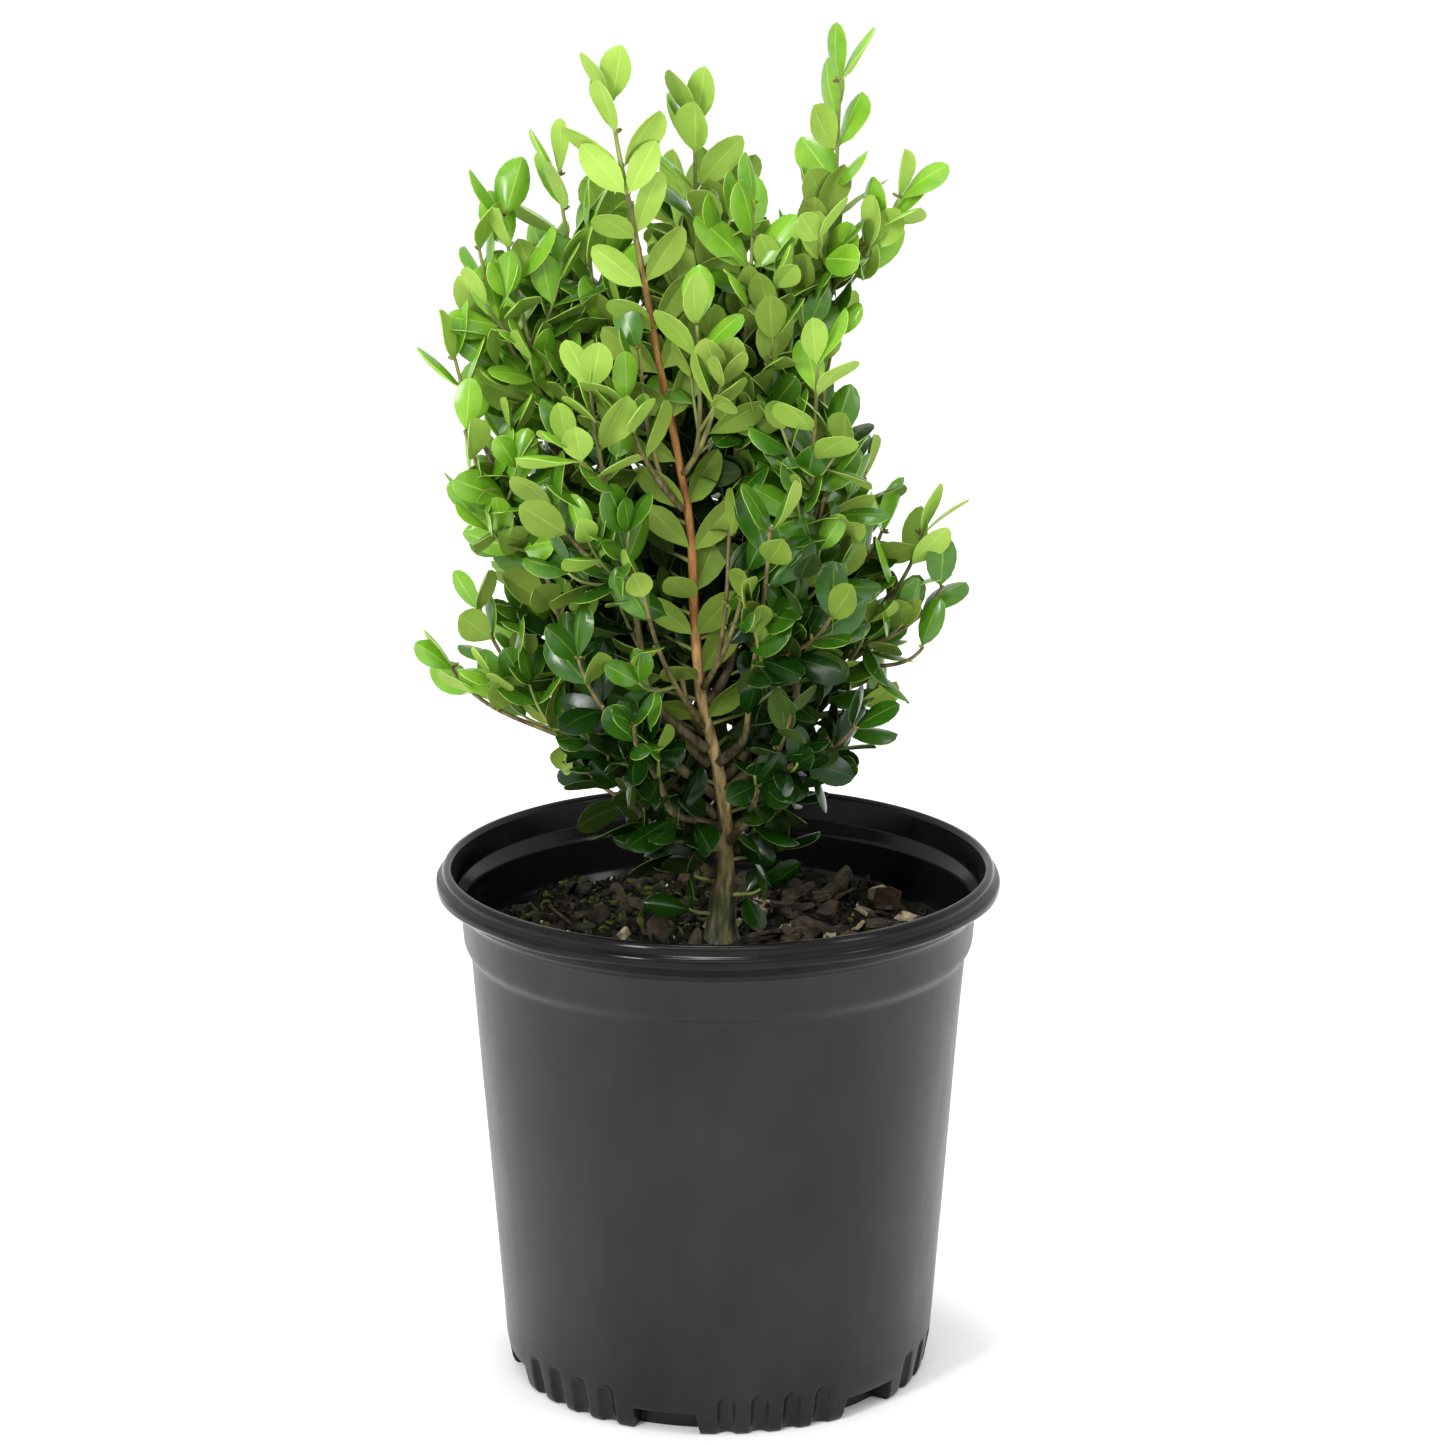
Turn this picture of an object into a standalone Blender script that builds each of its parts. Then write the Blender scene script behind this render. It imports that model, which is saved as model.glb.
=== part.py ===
"""A young wintergreen boxwood in the ribbed round pot it was grown in.

Metres, +Z up. The origin is on the pot's own axis, at the level that its feet stand on, and the plant is
seen from -Y, so +X is to the right and +Y is to the back. The sizes below are millimetres, turned into metres
by MM.

The pot is a turned wall with flutes, foot notches and drain holes cut out of it. The soil is a turned plug
with a lumpy top. The trunk and the boughs are tapering tubes. Each mass of foliage is one closed body: a
three-sided stem that goes on from its bough's tip, the forks and twigs that branch from it, and pairs of
leaves, each pair turned a quarter turn from the last, all fused together.
"""

import math
import random
from collections import namedtuple

import bmesh
import bpy
from mathutils import Vector, noise
from mathutils.bvhtree import BVHTree

MM = 0.001
UP = Vector((0, 0, 1))
OBJECT_NAME = "potted_wintergreen_boxwood"
CLEARANCE = 0.3 * MM
MERGE = 0.00001
FUSED_MERGE = 0.0000002
SHARP_ANGLE = math.radians(32)

# The pot: radii from its axis and heights above the ground.
RIM_RADIUS = 98.5
RIM_TOP = 185.0
COLLAR_TOP = 170.5
COLLAR_FOOT = 157.0
BODY_TOP_RADIUS = 86.6
BODY_TOP = 153.6
BODY_FOOT_RADIUS = 75.5
BODY_FOOT = 12.0
STANDING_RADIUS = 72.3
WALL = 1.6
HEEL_THICKNESS = 4.4
HEEL_TOP = 22.0
FLOOR_UNDERSIDE = 6.0
FLOOR_TOP = 8.0
POT_STEPS = 40
BODY_TAPER = (BODY_TOP_RADIUS - BODY_FOOT_RADIUS) / (BODY_TOP - BODY_FOOT)

# The foot: six pads with four flutes each, and between each two pads a notch that is closed at its back.
FOOT_PADS = 6
FLUTES_PER_PAD = 4
FIRST_PAD_ANGLE = 15.5
FLUTE_PITCH = 8.9
FLUTE_RADIUS = 2.9
FLUTE_TOP = 15.2
FLUTE_DEPTH = 2.1
NOTCH_HALF_WIDTH_FOOT = 12.0
NOTCH_HALF_WIDTH_TOP = 10.8
NOTCH_HEIGHT = 7.9
NOTCH_TOP_RISE = 0.26
NOTCH_CUTTER_DEPTH = 14.0
NOTCH_CUTTER_RADIUS = 73.0
BELOW_THE_FOOT = 2.0
DRAIN_HOLES = 6
DRAIN_HOLE_RADIUS = 5.0
DRAIN_CIRCLE_RADIUS = 46.0
DRAIN_CUTTER_DEPTH = 8.0

# The soil, with a flat patch where the trunk is cut off.
SOIL_LEVEL = 157.0
SOIL_STEPS = 20
SOIL_RINGS = (11.0, 24.0, 38.0, 52.0, 65.0, 76.0)
SOIL_PATCH_LEVEL = 155.5
SOIL_LUMP = 2.6
SOIL_LUMP_SIZE = 13.0
SOIL_SIDE_GAP = 1.4
SOIL_FALL_TO_SIDE = 1.5
SOIL_EDGE_DROP = 3.0

# The trunk's centre line, from the flat cut at soil level to the leader's tip, and its radius there.
TRUNK_LINE = (
    ((0.9, 0.0, 155.8), 6.0),
    ((0.9, 0.0, 159.5), 5.3),
    ((1.4, 0.0, 167.0), 4.9),
    ((2.0, -0.3, 176.0), 4.1),
    ((2.5, -1.5, 187.0), 2.9),
    ((2.3, -5.0, 204.0), 2.4),
    ((-0.9, -11.0, 226.0), 2.1),
    ((-5.6, -16.0, 248.0), 1.9),
    ((-7.9, -21.5, 276.0), 1.7),
    ((-9.2, -24.5, 308.0), 1.5),
    ((-14.0, -25.0, 338.0), 1.35),
    ((-19.6, -23.5, 366.0), 1.2),
    ((-25.0, -21.0, 396.0), 1.05),
    ((-30.4, -20.0, 424.0), 0.95),
)

# Each mass of foliage: the height on the trunk that its limb or stem leaves from, the tip of the bough that
# carries it (None where the stem leaves the trunk itself), the tips of its stem and of its forks, and how far
# from these its foliage may stand.
MASSES = {
    "leader_tip": (None, None, ((-34.5, -20, 456),), 26),
    "leader_left": (318, None, ((-30, -46, 354), (-26, -34, 370)), 28),
    "leader_right": (330, None, ((0, -44, 362), (-7, -34, 378)), 28),
    "leader_foot_left": (240, None, ((-24, -52, 290), (-12, -44, 306)), 28),
    "leader_foot_right": (254, None, ((9, -50, 298), (4, -42, 318)), 28),
    "middle_spire": (240, (-4, 2, 304), ((-6, 6, 440), (2, 14, 424)), 26),
    "inner_spire": (247, (5, -11, 304), ((10, -12, 420), (18, -32, 402)), 26),
    "right_spire": (218, (34, 6, 306), ((43, 10, 464), (56, -4, 424), (32, -14, 406)), 24),
    "left_upper": (236, (-31, 10, 306), ((-53, 15, 426), (-38, 30, 404)), 28),
    "left_shoulder": (224, (-47, 1, 296), ((-70, 0, 404), (-60, 22, 388)), 27),
    "left_arm": (213, (-53, -13, 272), ((-82, -12, 364), (-76, -34, 348)), 25),
    "left_middle": (203, (-42, 10, 238), ((-72, 12, 302), (-62, 34, 294)), 28),
    "left_low": (181, (-34, -9, 216), ((-86, -19, 257), (-68, 20, 238)), 28),
    "left_skirt": (190, None, ((-46, 12, 214), (-34, 30, 220)), 26),
    "right_cluster": (198, (32, -3, 236), ((68, -2, 296), (63, -18, 278)), 28),
    "right_knob": (207, (28, 10, 250), ((50, 14, 310), (38, 30, 298)), 26),
    "right_low": (190, (22, 3, 211), ((49, 4, 242), (34, -14, 216)), 26),
    "right_front": (215, (27, -24, 256), ((34, -40, 366), (46, -30, 338)), 26),
    "front_right": (226, (10, -27, 242), ((17, -60, 314), (36, -50, 282)), 28),
    "front_left": (232, (-25, -30, 262), ((-42, -50, 360), (-54, -42, 318)), 28),
    "front_left_low": (200, (-18, -22, 214), ((-46, -50, 268), (-28, -60, 248)), 28),
    "front_right_low": (196, (12, -20, 211), ((24, -54, 250), (44, -36, 240)), 28),
    "back_left_low": (186, (-18, 26, 214), ((-50, 62, 264), (-24, 66, 240)), 28),
    "back_right_low": (194, (16, 26, 214), ((46, 60, 270), (14, 68, 246)), 28),
    "back_left": (209, (-23, 27, 246), ((-54, 54, 346), (-22, 66, 312)), 28),
    "back_right": (212, (21, 26, 250), ((42, 52, 360), (12, 62, 326)), 28),
    "back_top": (228, (-8, 20, 290), ((-12, 40, 406), (14, 42, 382)), 28),
}

# The limbs and twigs.
BOUGH_RADIUS = 1.75
BOUGH_TIP_RADIUS = 1.15
BOUGH_RISE_ANGLE = 42.0
STEM_RADIUS = 1.2
STEM_TIP_RADIUS = 0.7
FLAT_OF_STEM = 0.6
FORK_RADIUS = 1.05
TWIG_RADIUS = 0.9
TWIG_TIP_RADIUS = 0.6
FORK_PLACE = 0.22
LIMB_BEND = 0.38
SAMPLE_STEP = 1.5
LIMB_POINTS = 5
STEM_POINTS = 4
TWIG_POINTS = 2
TWIG_SPACING = 40.0
TWIG_LENGTH_SHARE = 0.30
TWIG_LENGTH_LEAST = 17.0
TWIG_ANGLE = 48.0
TWIG_ANGLE_SPREAD = 8.0
TWIG_TURN_SPREAD = 0.4
TWIG_PLACE_SPREAD = 0.15
TWIG_LENGTH_SPREAD = (0.75, 1.15)
TWIG_LIFT = 0.16
TWIG_CLEARANCE = 1.2
NEAR_IN_HEIGHT = 5.0
TWIG_INSIDE_SPACE = 5.0

# The leaves, drawn larger than life because there are fewer of them.
LEAF_LENGTH = 26.5
LEAF_WIDTH = 18.0
LEAF_THICKNESS = 1.1
LEAF_WIDEST = 0.56
LEAF_CAMBER = 0.6
LEAF_ROOT = 0.5
LEAF_SPACING = 16.0
LEAF_ANGLE_OLD = 56.0
LEAF_ANGLE_TIP = 26.0
LEAF_ANGLE_SPREAD = 7.0
LEAF_TURN_SPREAD = 0.3
LEAF_TWIST = 0.35
LEAF_SIZE_SPREAD = (0.92, 1.05)
LEAF_CLEARANCE = 0.35
LEAF_ROOT_BELOW_TIP = 1.2
STEM_BARE = 9.0
TWIG_BARE = 6.0
TWIG_LEAVES_LEAST = 2
LEAF_SIZE_FROM_TIP = (0.78, 0.92, 1.0)
CROWN_SEED = 21
ANY_SIDE = Vector((0.36, -0.93, 0.1))

Shoot = namedtuple("Shoot", "mass number line is_spine")
Leaf = namedtuple("Leaf", "shoot pair root along upward size")

POT_COLOUR = (0.035, 0.036, 0.038)
SOIL_COLOUR = (0.060, 0.040, 0.024)
BARK_COLOUR = (0.270, 0.190, 0.105)
BOUGH_COLOUR = (0.300, 0.190, 0.080)
LEAF_COLOURS = ((0.050, 0.160, 0.018), (0.075, 0.210, 0.020), (0.110, 0.270, 0.028))


def clear_scene():
    """Take out whatever the file holds, so the part is built from nothing."""
    for item in list(bpy.data.objects):
        bpy.data.objects.remove(item)
    for group in list(bpy.data.collections):
        bpy.data.collections.remove(group)


def new_collection(name):
    group = bpy.data.collections.new(name)
    bpy.context.scene.collection.children.link(group)
    return group


def new_material(name, colour, roughness):
    material = bpy.data.materials.new(name)
    material.use_nodes = True
    shader = material.node_tree.nodes["Principled BSDF"]
    shader.inputs["Base Color"].default_value = (*colour, 1.0)
    shader.inputs["Roughness"].default_value = roughness
    shader.inputs["Metallic"].default_value = 0.0
    return material


def metres(place):
    """A place given in millimetres, as a vector in metres."""
    return Vector(place) * MM


def add_mesh_object(name, mesh, group):
    item = bpy.data.objects.new(name, mesh)
    group.objects.link(item)
    return item


def mesh_from(item, name, merge=MERGE):
    """The mesh that an object's curve or modifiers make, with the loose caps of a curve welded on."""
    graph = bpy.context.evaluated_depsgraph_get()
    mesh = bpy.data.meshes.new_from_object(item.evaluated_get(graph))
    mesh.name = name
    shape = bmesh.new()
    shape.from_mesh(mesh)
    bmesh.ops.remove_doubles(shape, verts=shape.verts, dist=merge)
    bmesh.ops.recalc_face_normals(shape, faces=shape.faces)
    shape.to_mesh(mesh)
    shape.free()
    return mesh


def turned(name, profile, steps, group):
    """Turn a profile of (radius, height) points round the Z axis with a Screw modifier."""
    mesh = bpy.data.meshes.new(name)
    points = [(radius * MM, 0.0, height * MM) for radius, height in profile]
    mesh.from_pydata(points, [(i, i + 1) for i in range(len(points) - 1)], [])
    item = add_mesh_object(name, mesh, group)
    screw = item.modifiers.new("turn", "SCREW")
    screw.axis = "Z"
    screw.angle = math.tau
    screw.steps = steps
    screw.render_steps = steps
    screw.use_merge_vertices = True
    screw.merge_threshold = MERGE
    screw.use_smooth_shade = True
    return item


# The pot.


def body_radius(height):
    """The pot's outer radius on its straight tapering body."""
    return BODY_FOOT_RADIUS + (height - BODY_FOOT) * BODY_TAPER


def pot_inner_profile():
    """From the middle of the pot's floor, up the inside, to the crest of the rim."""
    heel = body_radius(HEEL_TOP - 3.0) - HEEL_THICKNESS
    return [
        (0.0, FLOOR_TOP),
        (heel - 4.0, FLOOR_TOP),
        (heel, FLOOR_TOP + 3.0),
        (heel, HEEL_TOP - 3.0),
        (body_radius(HEEL_TOP + 2.0) - WALL, HEEL_TOP + 2.0),
        (body_radius(BODY_TOP - 1.0) - WALL, BODY_TOP - 1.0),
        (87.2, COLLAR_FOOT + 0.6),
        (88.5, COLLAR_TOP + 0.4),
        (91.6, 174.6),
        (92.8, 183.6),
    ]


def pot_outer_profile():
    """From the crest of the rim, down the outside and under the foot, to the floor's middle."""
    return [
        (94.0, RIM_TOP),
        (95.6, 184.6),
        (96.4, 183.1),
        (96.1, 181.5),
        (98.0, 180.7),
        (RIM_RADIUS, 179.7),
        (RIM_RADIUS, 177.7),
        (97.5, 176.7),
        (91.4, 172.6),
        (90.1, COLLAR_TOP),
        (89.1, COLLAR_FOOT + 1.6),
        (88.4, COLLAR_FOOT - 0.6),
        (87.0, BODY_TOP + 1.2),
        (BODY_TOP_RADIUS, BODY_TOP),
        (BODY_FOOT_RADIUS, BODY_FOOT),
        (73.6, 2.1),
        (STANDING_RADIUS, 0.0),
        (62.5, 0.0),
        (61.0, FLOOR_UNDERSIDE),
        (0.0, FLOOR_UNDERSIDE),
    ]


def place_round(item, angle, radius, height):
    """Put a cutter at an angle counted from the front, -Y, towards the right, +X, facing outwards."""
    turn = math.radians(angle)
    item.location = (radius * MM * math.sin(turn), -radius * MM * math.cos(turn), height * MM)
    item.rotation_euler = (0.0, 0.0, turn)


def hide_cutter(item):
    item.hide_render = True
    item.display_type = "WIRE"


def flute_mesh():
    """A ball whose lower half is drawn down past the foot, leaning with the pot's wall."""
    shape = bmesh.new()
    bmesh.ops.create_uvsphere(shape, u_segments=6, v_segments=4, radius=FLUTE_RADIUS * MM)
    for corner in shape.verts:
        if corner.co.z < -MERGE:
            corner.co.z -= (FLUTE_TOP - FLUTE_RADIUS + BELOW_THE_FOOT) * MM
        corner.co.y -= corner.co.z * BODY_TAPER
    mesh = bpy.data.meshes.new("flute")
    shape.to_mesh(mesh)
    shape.free()
    return mesh


def notch_mesh():
    """A block that cuts into the foot ring from outside, narrower at its top, which rises outwards."""
    shape = bmesh.new()
    bmesh.ops.create_cube(shape, size=1.0)
    for corner in shape.verts:
        top = corner.co.z > 0
        half = NOTCH_HALF_WIDTH_TOP if top else NOTCH_HALF_WIDTH_FOOT
        corner.co.x = math.copysign(half * MM, corner.co.x)
        corner.co.y *= NOTCH_CUTTER_DEPTH * MM
        corner.co.z = NOTCH_HEIGHT * MM - corner.co.y * NOTCH_TOP_RISE if top else -BELOW_THE_FOOT * MM
    mesh = bpy.data.meshes.new("notch")
    shape.to_mesh(mesh)
    shape.free()
    return mesh


def drain_mesh():
    shape = bmesh.new()
    bmesh.ops.create_cone(
        shape,
        cap_ends=True,
        segments=8,
        radius1=DRAIN_HOLE_RADIUS * MM,
        radius2=DRAIN_HOLE_RADIUS * MM,
        depth=DRAIN_CUTTER_DEPTH * MM,
    )
    mesh = bpy.data.meshes.new("drain_hole")
    shape.to_mesh(mesh)
    shape.free()
    return mesh


def make_pot(group, cutters, material):
    """Turn the pot, then cut the flutes, the foot notches and the drain holes out of it."""
    pot = turned("uncut_pot", pot_inner_profile() + pot_outer_profile(), POT_STEPS, group)
    flute = flute_mesh()
    notch = notch_mesh()
    drain = drain_mesh()
    flute_height = FLUTE_TOP - FLUTE_RADIUS
    flute_circle = body_radius(flute_height) + FLUTE_RADIUS - FLUTE_DEPTH
    for pad in range(FOOT_PADS):
        pad_angle = FIRST_PAD_ANGLE + pad * 360.0 / FOOT_PADS
        for k in range(FLUTES_PER_PAD):
            angle = pad_angle + (k - (FLUTES_PER_PAD - 1) / 2) * FLUTE_PITCH
            item = add_mesh_object(f"flute_{pad}_{k}", flute, cutters)
            place_round(item, angle, flute_circle, flute_height)
            hide_cutter(item)
        item = add_mesh_object(f"notch_{pad}", notch, cutters)
        place_round(item, pad_angle + 180.0 / FOOT_PADS, NOTCH_CUTTER_RADIUS, 0.0)
        hide_cutter(item)
    for k in range(DRAIN_HOLES):
        item = add_mesh_object(f"drain_{k}", drain, cutters)
        place_round(item, FIRST_PAD_ANGLE + k * 360.0 / DRAIN_HOLES, DRAIN_CIRCLE_RADIUS, FLOOR_TOP)
        hide_cutter(item)
    cut = pot.modifiers.new("cut_the_foot", "BOOLEAN")
    cut.operation = "DIFFERENCE"
    cut.operand_type = "COLLECTION"
    cut.collection = cutters
    cut.solver = "EXACT"
    mesh = mesh_from(pot, "pot", FUSED_MERGE)
    bpy.data.objects.remove(pot)
    mesh.set_sharp_from_angle(angle=SHARP_ANGLE)
    mesh.materials.append(material)
    return add_mesh_object("pot", mesh, group)


# The soil.


def pot_inside_radius(height):
    """The inner radius of the pot at a height, read along its inner profile."""
    profile = pot_inner_profile()
    for (r0, z0), (r1, z1) in zip(profile, profile[1:]):
        if z0 <= height <= z1 and z1 > z0:
            return r0 + (r1 - r0) * (height - z0) / (z1 - z0)
    return profile[-1][0]


def soil_height(x, y):
    """Level soil with seeded lumps, flat where the trunk stands, and a little higher near it."""
    radius = math.hypot(x, y)
    if radius < SOIL_RINGS[0] + 1.0:
        return SOIL_PATCH_LEVEL
    lump = noise.noise(Vector((x, y, 4.0)) / SOIL_LUMP_SIZE) * SOIL_LUMP
    return SOIL_LEVEL + lump - SOIL_FALL_TO_SIDE * radius / pot_inside_radius(SOIL_LEVEL)


def make_soil(group, material):
    """Turn a plug that fills the pot, then raise its top into lumps."""
    edge = pot_inside_radius(SOIL_LEVEL - SOIL_EDGE_DROP) - SOIL_SIDE_GAP
    heel = pot_inside_radius(HEEL_TOP - 3.0) - SOIL_SIDE_GAP
    shoulder = HEEL_TOP + 3.0
    profile = [(0.0, SOIL_LEVEL)]
    profile += [(radius, SOIL_LEVEL) for radius in SOIL_RINGS]
    profile += [
        (edge, SOIL_LEVEL - SOIL_EDGE_DROP),
        (pot_inside_radius(shoulder) - SOIL_SIDE_GAP, shoulder),
        (heel, HEEL_TOP - 3.0),
        (heel, FLOOR_TOP + 4.0),
        (heel - 5.0, FLOOR_TOP + CLEARANCE / MM),
        (0.0, FLOOR_TOP + CLEARANCE / MM),
    ]
    plug = turned("soil_plug", profile, SOIL_STEPS, group)
    mesh = mesh_from(plug, "soil")
    bpy.data.objects.remove(plug)
    for corner in mesh.vertices:
        if corner.co.z > (SOIL_LEVEL - 1.0) * MM:
            corner.co.z = soil_height(corner.co.x / MM, corner.co.y / MM) * MM
    mesh.shade_smooth()
    soil = add_mesh_object("soil", mesh, group)
    soil.data.materials.append(material)
    return soil


# The limbs.


def bezier_line(start, leave, arrive, end, radius, tip_radius, points):
    """A cubic curve that leaves and arrives in the directions given, with an even taper."""
    reach = (end - start).length
    near_start = start + leave * reach * LIMB_BEND
    near_end = end - arrive * reach * LIMB_BEND
    line = []
    for i in range(points):
        t = i / (points - 1)
        s = 1.0 - t
        place = s**3 * start + 3 * s**2 * t * near_start + 3 * s * t**2 * near_end + t**3 * end
        line.append((place, (radius + (tip_radius - radius) * t) * MM))
    return line


def direction_at(line, index):
    before = line[max(index - 1, 0)][0]
    after = line[min(index + 1, len(line) - 1)][0]
    return (after - before).normalized()


def line_length(line):
    return sum((b[0] - a[0]).length for a, b in zip(line, line[1:]))


def along_line(line, distance):
    """The place, direction and radius at a distance along a line of (place, radius) points."""
    left = distance
    for i in range(len(line) - 1):
        step = (line[i + 1][0] - line[i][0]).length
        if left <= step or i == len(line) - 2:
            share = min(left / step, 1.0)
            place = line[i][0].lerp(line[i + 1][0], share)
            direction = direction_at(line, i).lerp(direction_at(line, i + 1), share).normalized()
            return place, direction, line[i][1] + (line[i + 1][1] - line[i][1]) * share
        left -= step
    return line[-1][0], direction_at(line, len(line) - 1), line[-1][1]


def three_sided_section():
    """A closed triangle of unit radius, the cross-section of the twigs."""
    curve = bpy.data.curves.new("three_sided_section", "CURVE")
    spline = curve.splines.new("POLY")
    spline.points.add(2)
    for k, point in enumerate(spline.points):
        angle = -math.tau * k / 3
        point.co = (math.cos(angle) * MM, math.sin(angle) * MM, 0.0, 1.0)
    spline.use_cyclic_u = True
    section = bpy.data.objects.new("three_sided_section", curve)
    bpy.context.scene.collection.objects.link(section)
    hide_cutter(section)
    return section


def tube(name, line, group, section=None, sides_level=2):
    """A tapering tube along a line: round, or with a section of its own, and closed at both ends."""
    curve = bpy.data.curves.new(name, "CURVE")
    curve.dimensions = "3D"
    curve.use_fill_caps = True
    if section is None:
        curve.bevel_depth = MM
        curve.bevel_resolution = sides_level
    else:
        curve.bevel_mode = "OBJECT"
        curve.bevel_object = section
    spline = curve.splines.new("POLY")
    spline.points.add(len(line) - 1)
    for point, (place, radius) in zip(spline.points, line):
        point.co = (*place, 1.0)
        point.radius = radius / MM
    guide = bpy.data.objects.new(name, curve)
    group.objects.link(guide)
    mesh = mesh_from(guide, name)
    bpy.data.objects.remove(guide)
    return add_mesh_object(name, mesh, group)


def make_trunk(group, material):
    line = [(metres(place), radius * MM) for place, radius in TRUNK_LINE]
    trunk = tube("trunk", line, group)
    trunk.data.shade_smooth()
    trunk.data.materials.append(material)
    return trunk, line


def trunk_at(trunk_line, height):
    """The trunk's centre, radius and direction at a height above the ground."""
    index = max(i for i, (place, _) in enumerate(trunk_line[:-1]) if place.z <= height * MM)
    (low, low_radius), (high, high_radius) = trunk_line[index : index + 2]
    share = (height * MM - low.z) / (high.z - low.z)
    return low.lerp(high, share), low_radius + (high_radius - low_radius) * share, (high - low).normalized()


def leave_trunk(trunk_line, height, target, radius):
    """Where a limb starts beside the trunk, just clear of its bark, and its direction there."""
    centre, trunk_radius, lean = trunk_at(trunk_line, height)
    level = Vector((target.x - centre.x, target.y - centre.y, 0.0)).normalized()
    rise = math.radians(BOUGH_RISE_ANGLE)
    leave = level * math.cos(rise) + UP * math.sin(rise)
    outward = (level - lean * level.dot(lean)).normalized()
    reach_back = radius * MM * math.sqrt(1.0 - leave.dot(outward) ** 2)
    return centre + outward * (trunk_radius + reach_back + CLEARANCE), leave


def make_bough(name, height, tip, goal, trunk_line, group, material):
    """One tapering limb, from beside the trunk to the place where its mass of foliage starts."""
    tip = metres(tip)
    start, leave = leave_trunk(trunk_line, height, tip, BOUGH_RADIUS)
    arrive = ((metres(goal) - tip).normalized() + UP).normalized()
    line = bezier_line(start, leave, arrive, tip, BOUGH_RADIUS, BOUGH_TIP_RADIUS, LIMB_POINTS)
    bough = tube(name, line, group, sides_level=1)
    bough.data.shade_smooth()
    bough.data.materials.append(material)
    return bough, line


# The foliage.


def across(direction):
    """Two unit directions at right angles to a shoot and to each other."""
    first = direction.cross(ANY_SIDE).normalized()
    return first, direction.cross(first)


def shoot_lines(mass, trunk_line, bough_line, chance):
    """The stem of a mass, its forks and its seeded side twigs, each a line of (place, radius) points."""
    height, bough_tip, tips, space = MASSES[mass]
    goal = metres(tips[0])
    if bough_tip is not None:
        arrive = direction_at(bough_line, len(bough_line) - 1)
        start = bough_line[-1][0] + arrive * CLEARANCE
    elif height is None:
        arrive = direction_at(trunk_line, len(trunk_line) - 1)
        start = trunk_line[-1][0] + arrive * CLEARANCE
    else:
        start, arrive = leave_trunk(trunk_line, height, goal, STEM_RADIUS * FLAT_OF_STEM)
    finish = ((goal - start).normalized() + 0.9 * UP).normalized()
    stem = bezier_line(start, arrive, finish, goal, STEM_RADIUS, STEM_TIP_RADIUS, STEM_POINTS)
    shoots = [stem]
    for tip in tips[1:]:
        place, direction, _ = along_line(stem, line_length(stem) * FORK_PLACE)
        goal = metres(tip)
        leave = (direction + (goal - place).normalized()).normalized()
        finish = ((goal - place).normalized() + UP).normalized()
        shoots.append(bezier_line(place, leave, finish, goal, FORK_RADIUS, STEM_TIP_RADIUS, STEM_POINTS))
    twigs = []
    for shoot in shoots:
        length = line_length(shoot)
        count = int((length - 0.5 * TWIG_SPACING * MM) // (TWIG_SPACING * MM))
        turn = chance.uniform(0.0, math.pi)
        for k in range(count):
            distance = (k + 0.6 + chance.uniform(-TWIG_PLACE_SPREAD, TWIG_PLACE_SPREAD)) * TWIG_SPACING * MM
            place, direction, radius = along_line(shoot, distance)
            first, second = across(direction)
            for side in (0.0, math.pi):
                angle = turn + k * math.pi / 2 + side + chance.uniform(-TWIG_TURN_SPREAD, TWIG_TURN_SPREAD)
                outward = first * math.cos(angle) + second * math.sin(angle)
                open_angle = math.radians(TWIG_ANGLE + chance.uniform(-TWIG_ANGLE_SPREAD, TWIG_ANGLE_SPREAD))
                leave = direction * math.cos(open_angle) + outward * math.sin(open_angle)
                reach = TWIG_LENGTH_SHARE * (length - distance) + TWIG_LENGTH_LEAST * MM
                reach = min(reach * chance.uniform(*TWIG_LENGTH_SPREAD), (space - TWIG_INSIDE_SPACE) * MM)
                end = place + leave * reach + UP * reach * TWIG_LIFT
                finish = (leave + 0.8 * UP).normalized()
                twig = bezier_line(place, leave, finish, end, TWIG_RADIUS, TWIG_TIP_RADIUS, TWIG_POINTS)
                twigs.append(twig)
    return shoots, twigs


def samples(line):
    """Places close together along a line, with the radius at each."""
    length = line_length(line)
    count = max(int(length / (SAMPLE_STEP * MM)), 2)
    out = []
    for i in range(count + 1):
        place, _, radius = along_line(line, length * i / count)
        out.append((place, radius))
    return out


def filled_by(line, owner):
    """The places that a limb or twig fills, with its radius there and the mass that it belongs to."""
    return [(place, radius, owner) for place, radius in samples(line)]


def clear_of(filled, line, owner):
    """True where a line keeps clear of every filled place that another mass owns."""
    for place, radius in samples(line):
        for other_place, other_radius, other in filled:
            if other != owner and abs(place.z - other_place.z) < NEAR_IN_HEIGHT * MM:
                if (place - other_place).length < radius + other_radius + TWIG_CLEARANCE * MM:
                    return False
    return True


def leaf_template():
    """The unit octahedron that every leaf is shaped from: its corners and its eight faces."""
    shape = bmesh.new()
    bmesh.ops.create_uvsphere(shape, u_segments=4, v_segments=2, radius=1.0)
    corners = [tuple(round(value) for value in corner.co) for corner in shape.verts]
    faces = [[corner.index for corner in face.verts] for face in shape.faces]
    shape.free()
    return corners, faces


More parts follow.
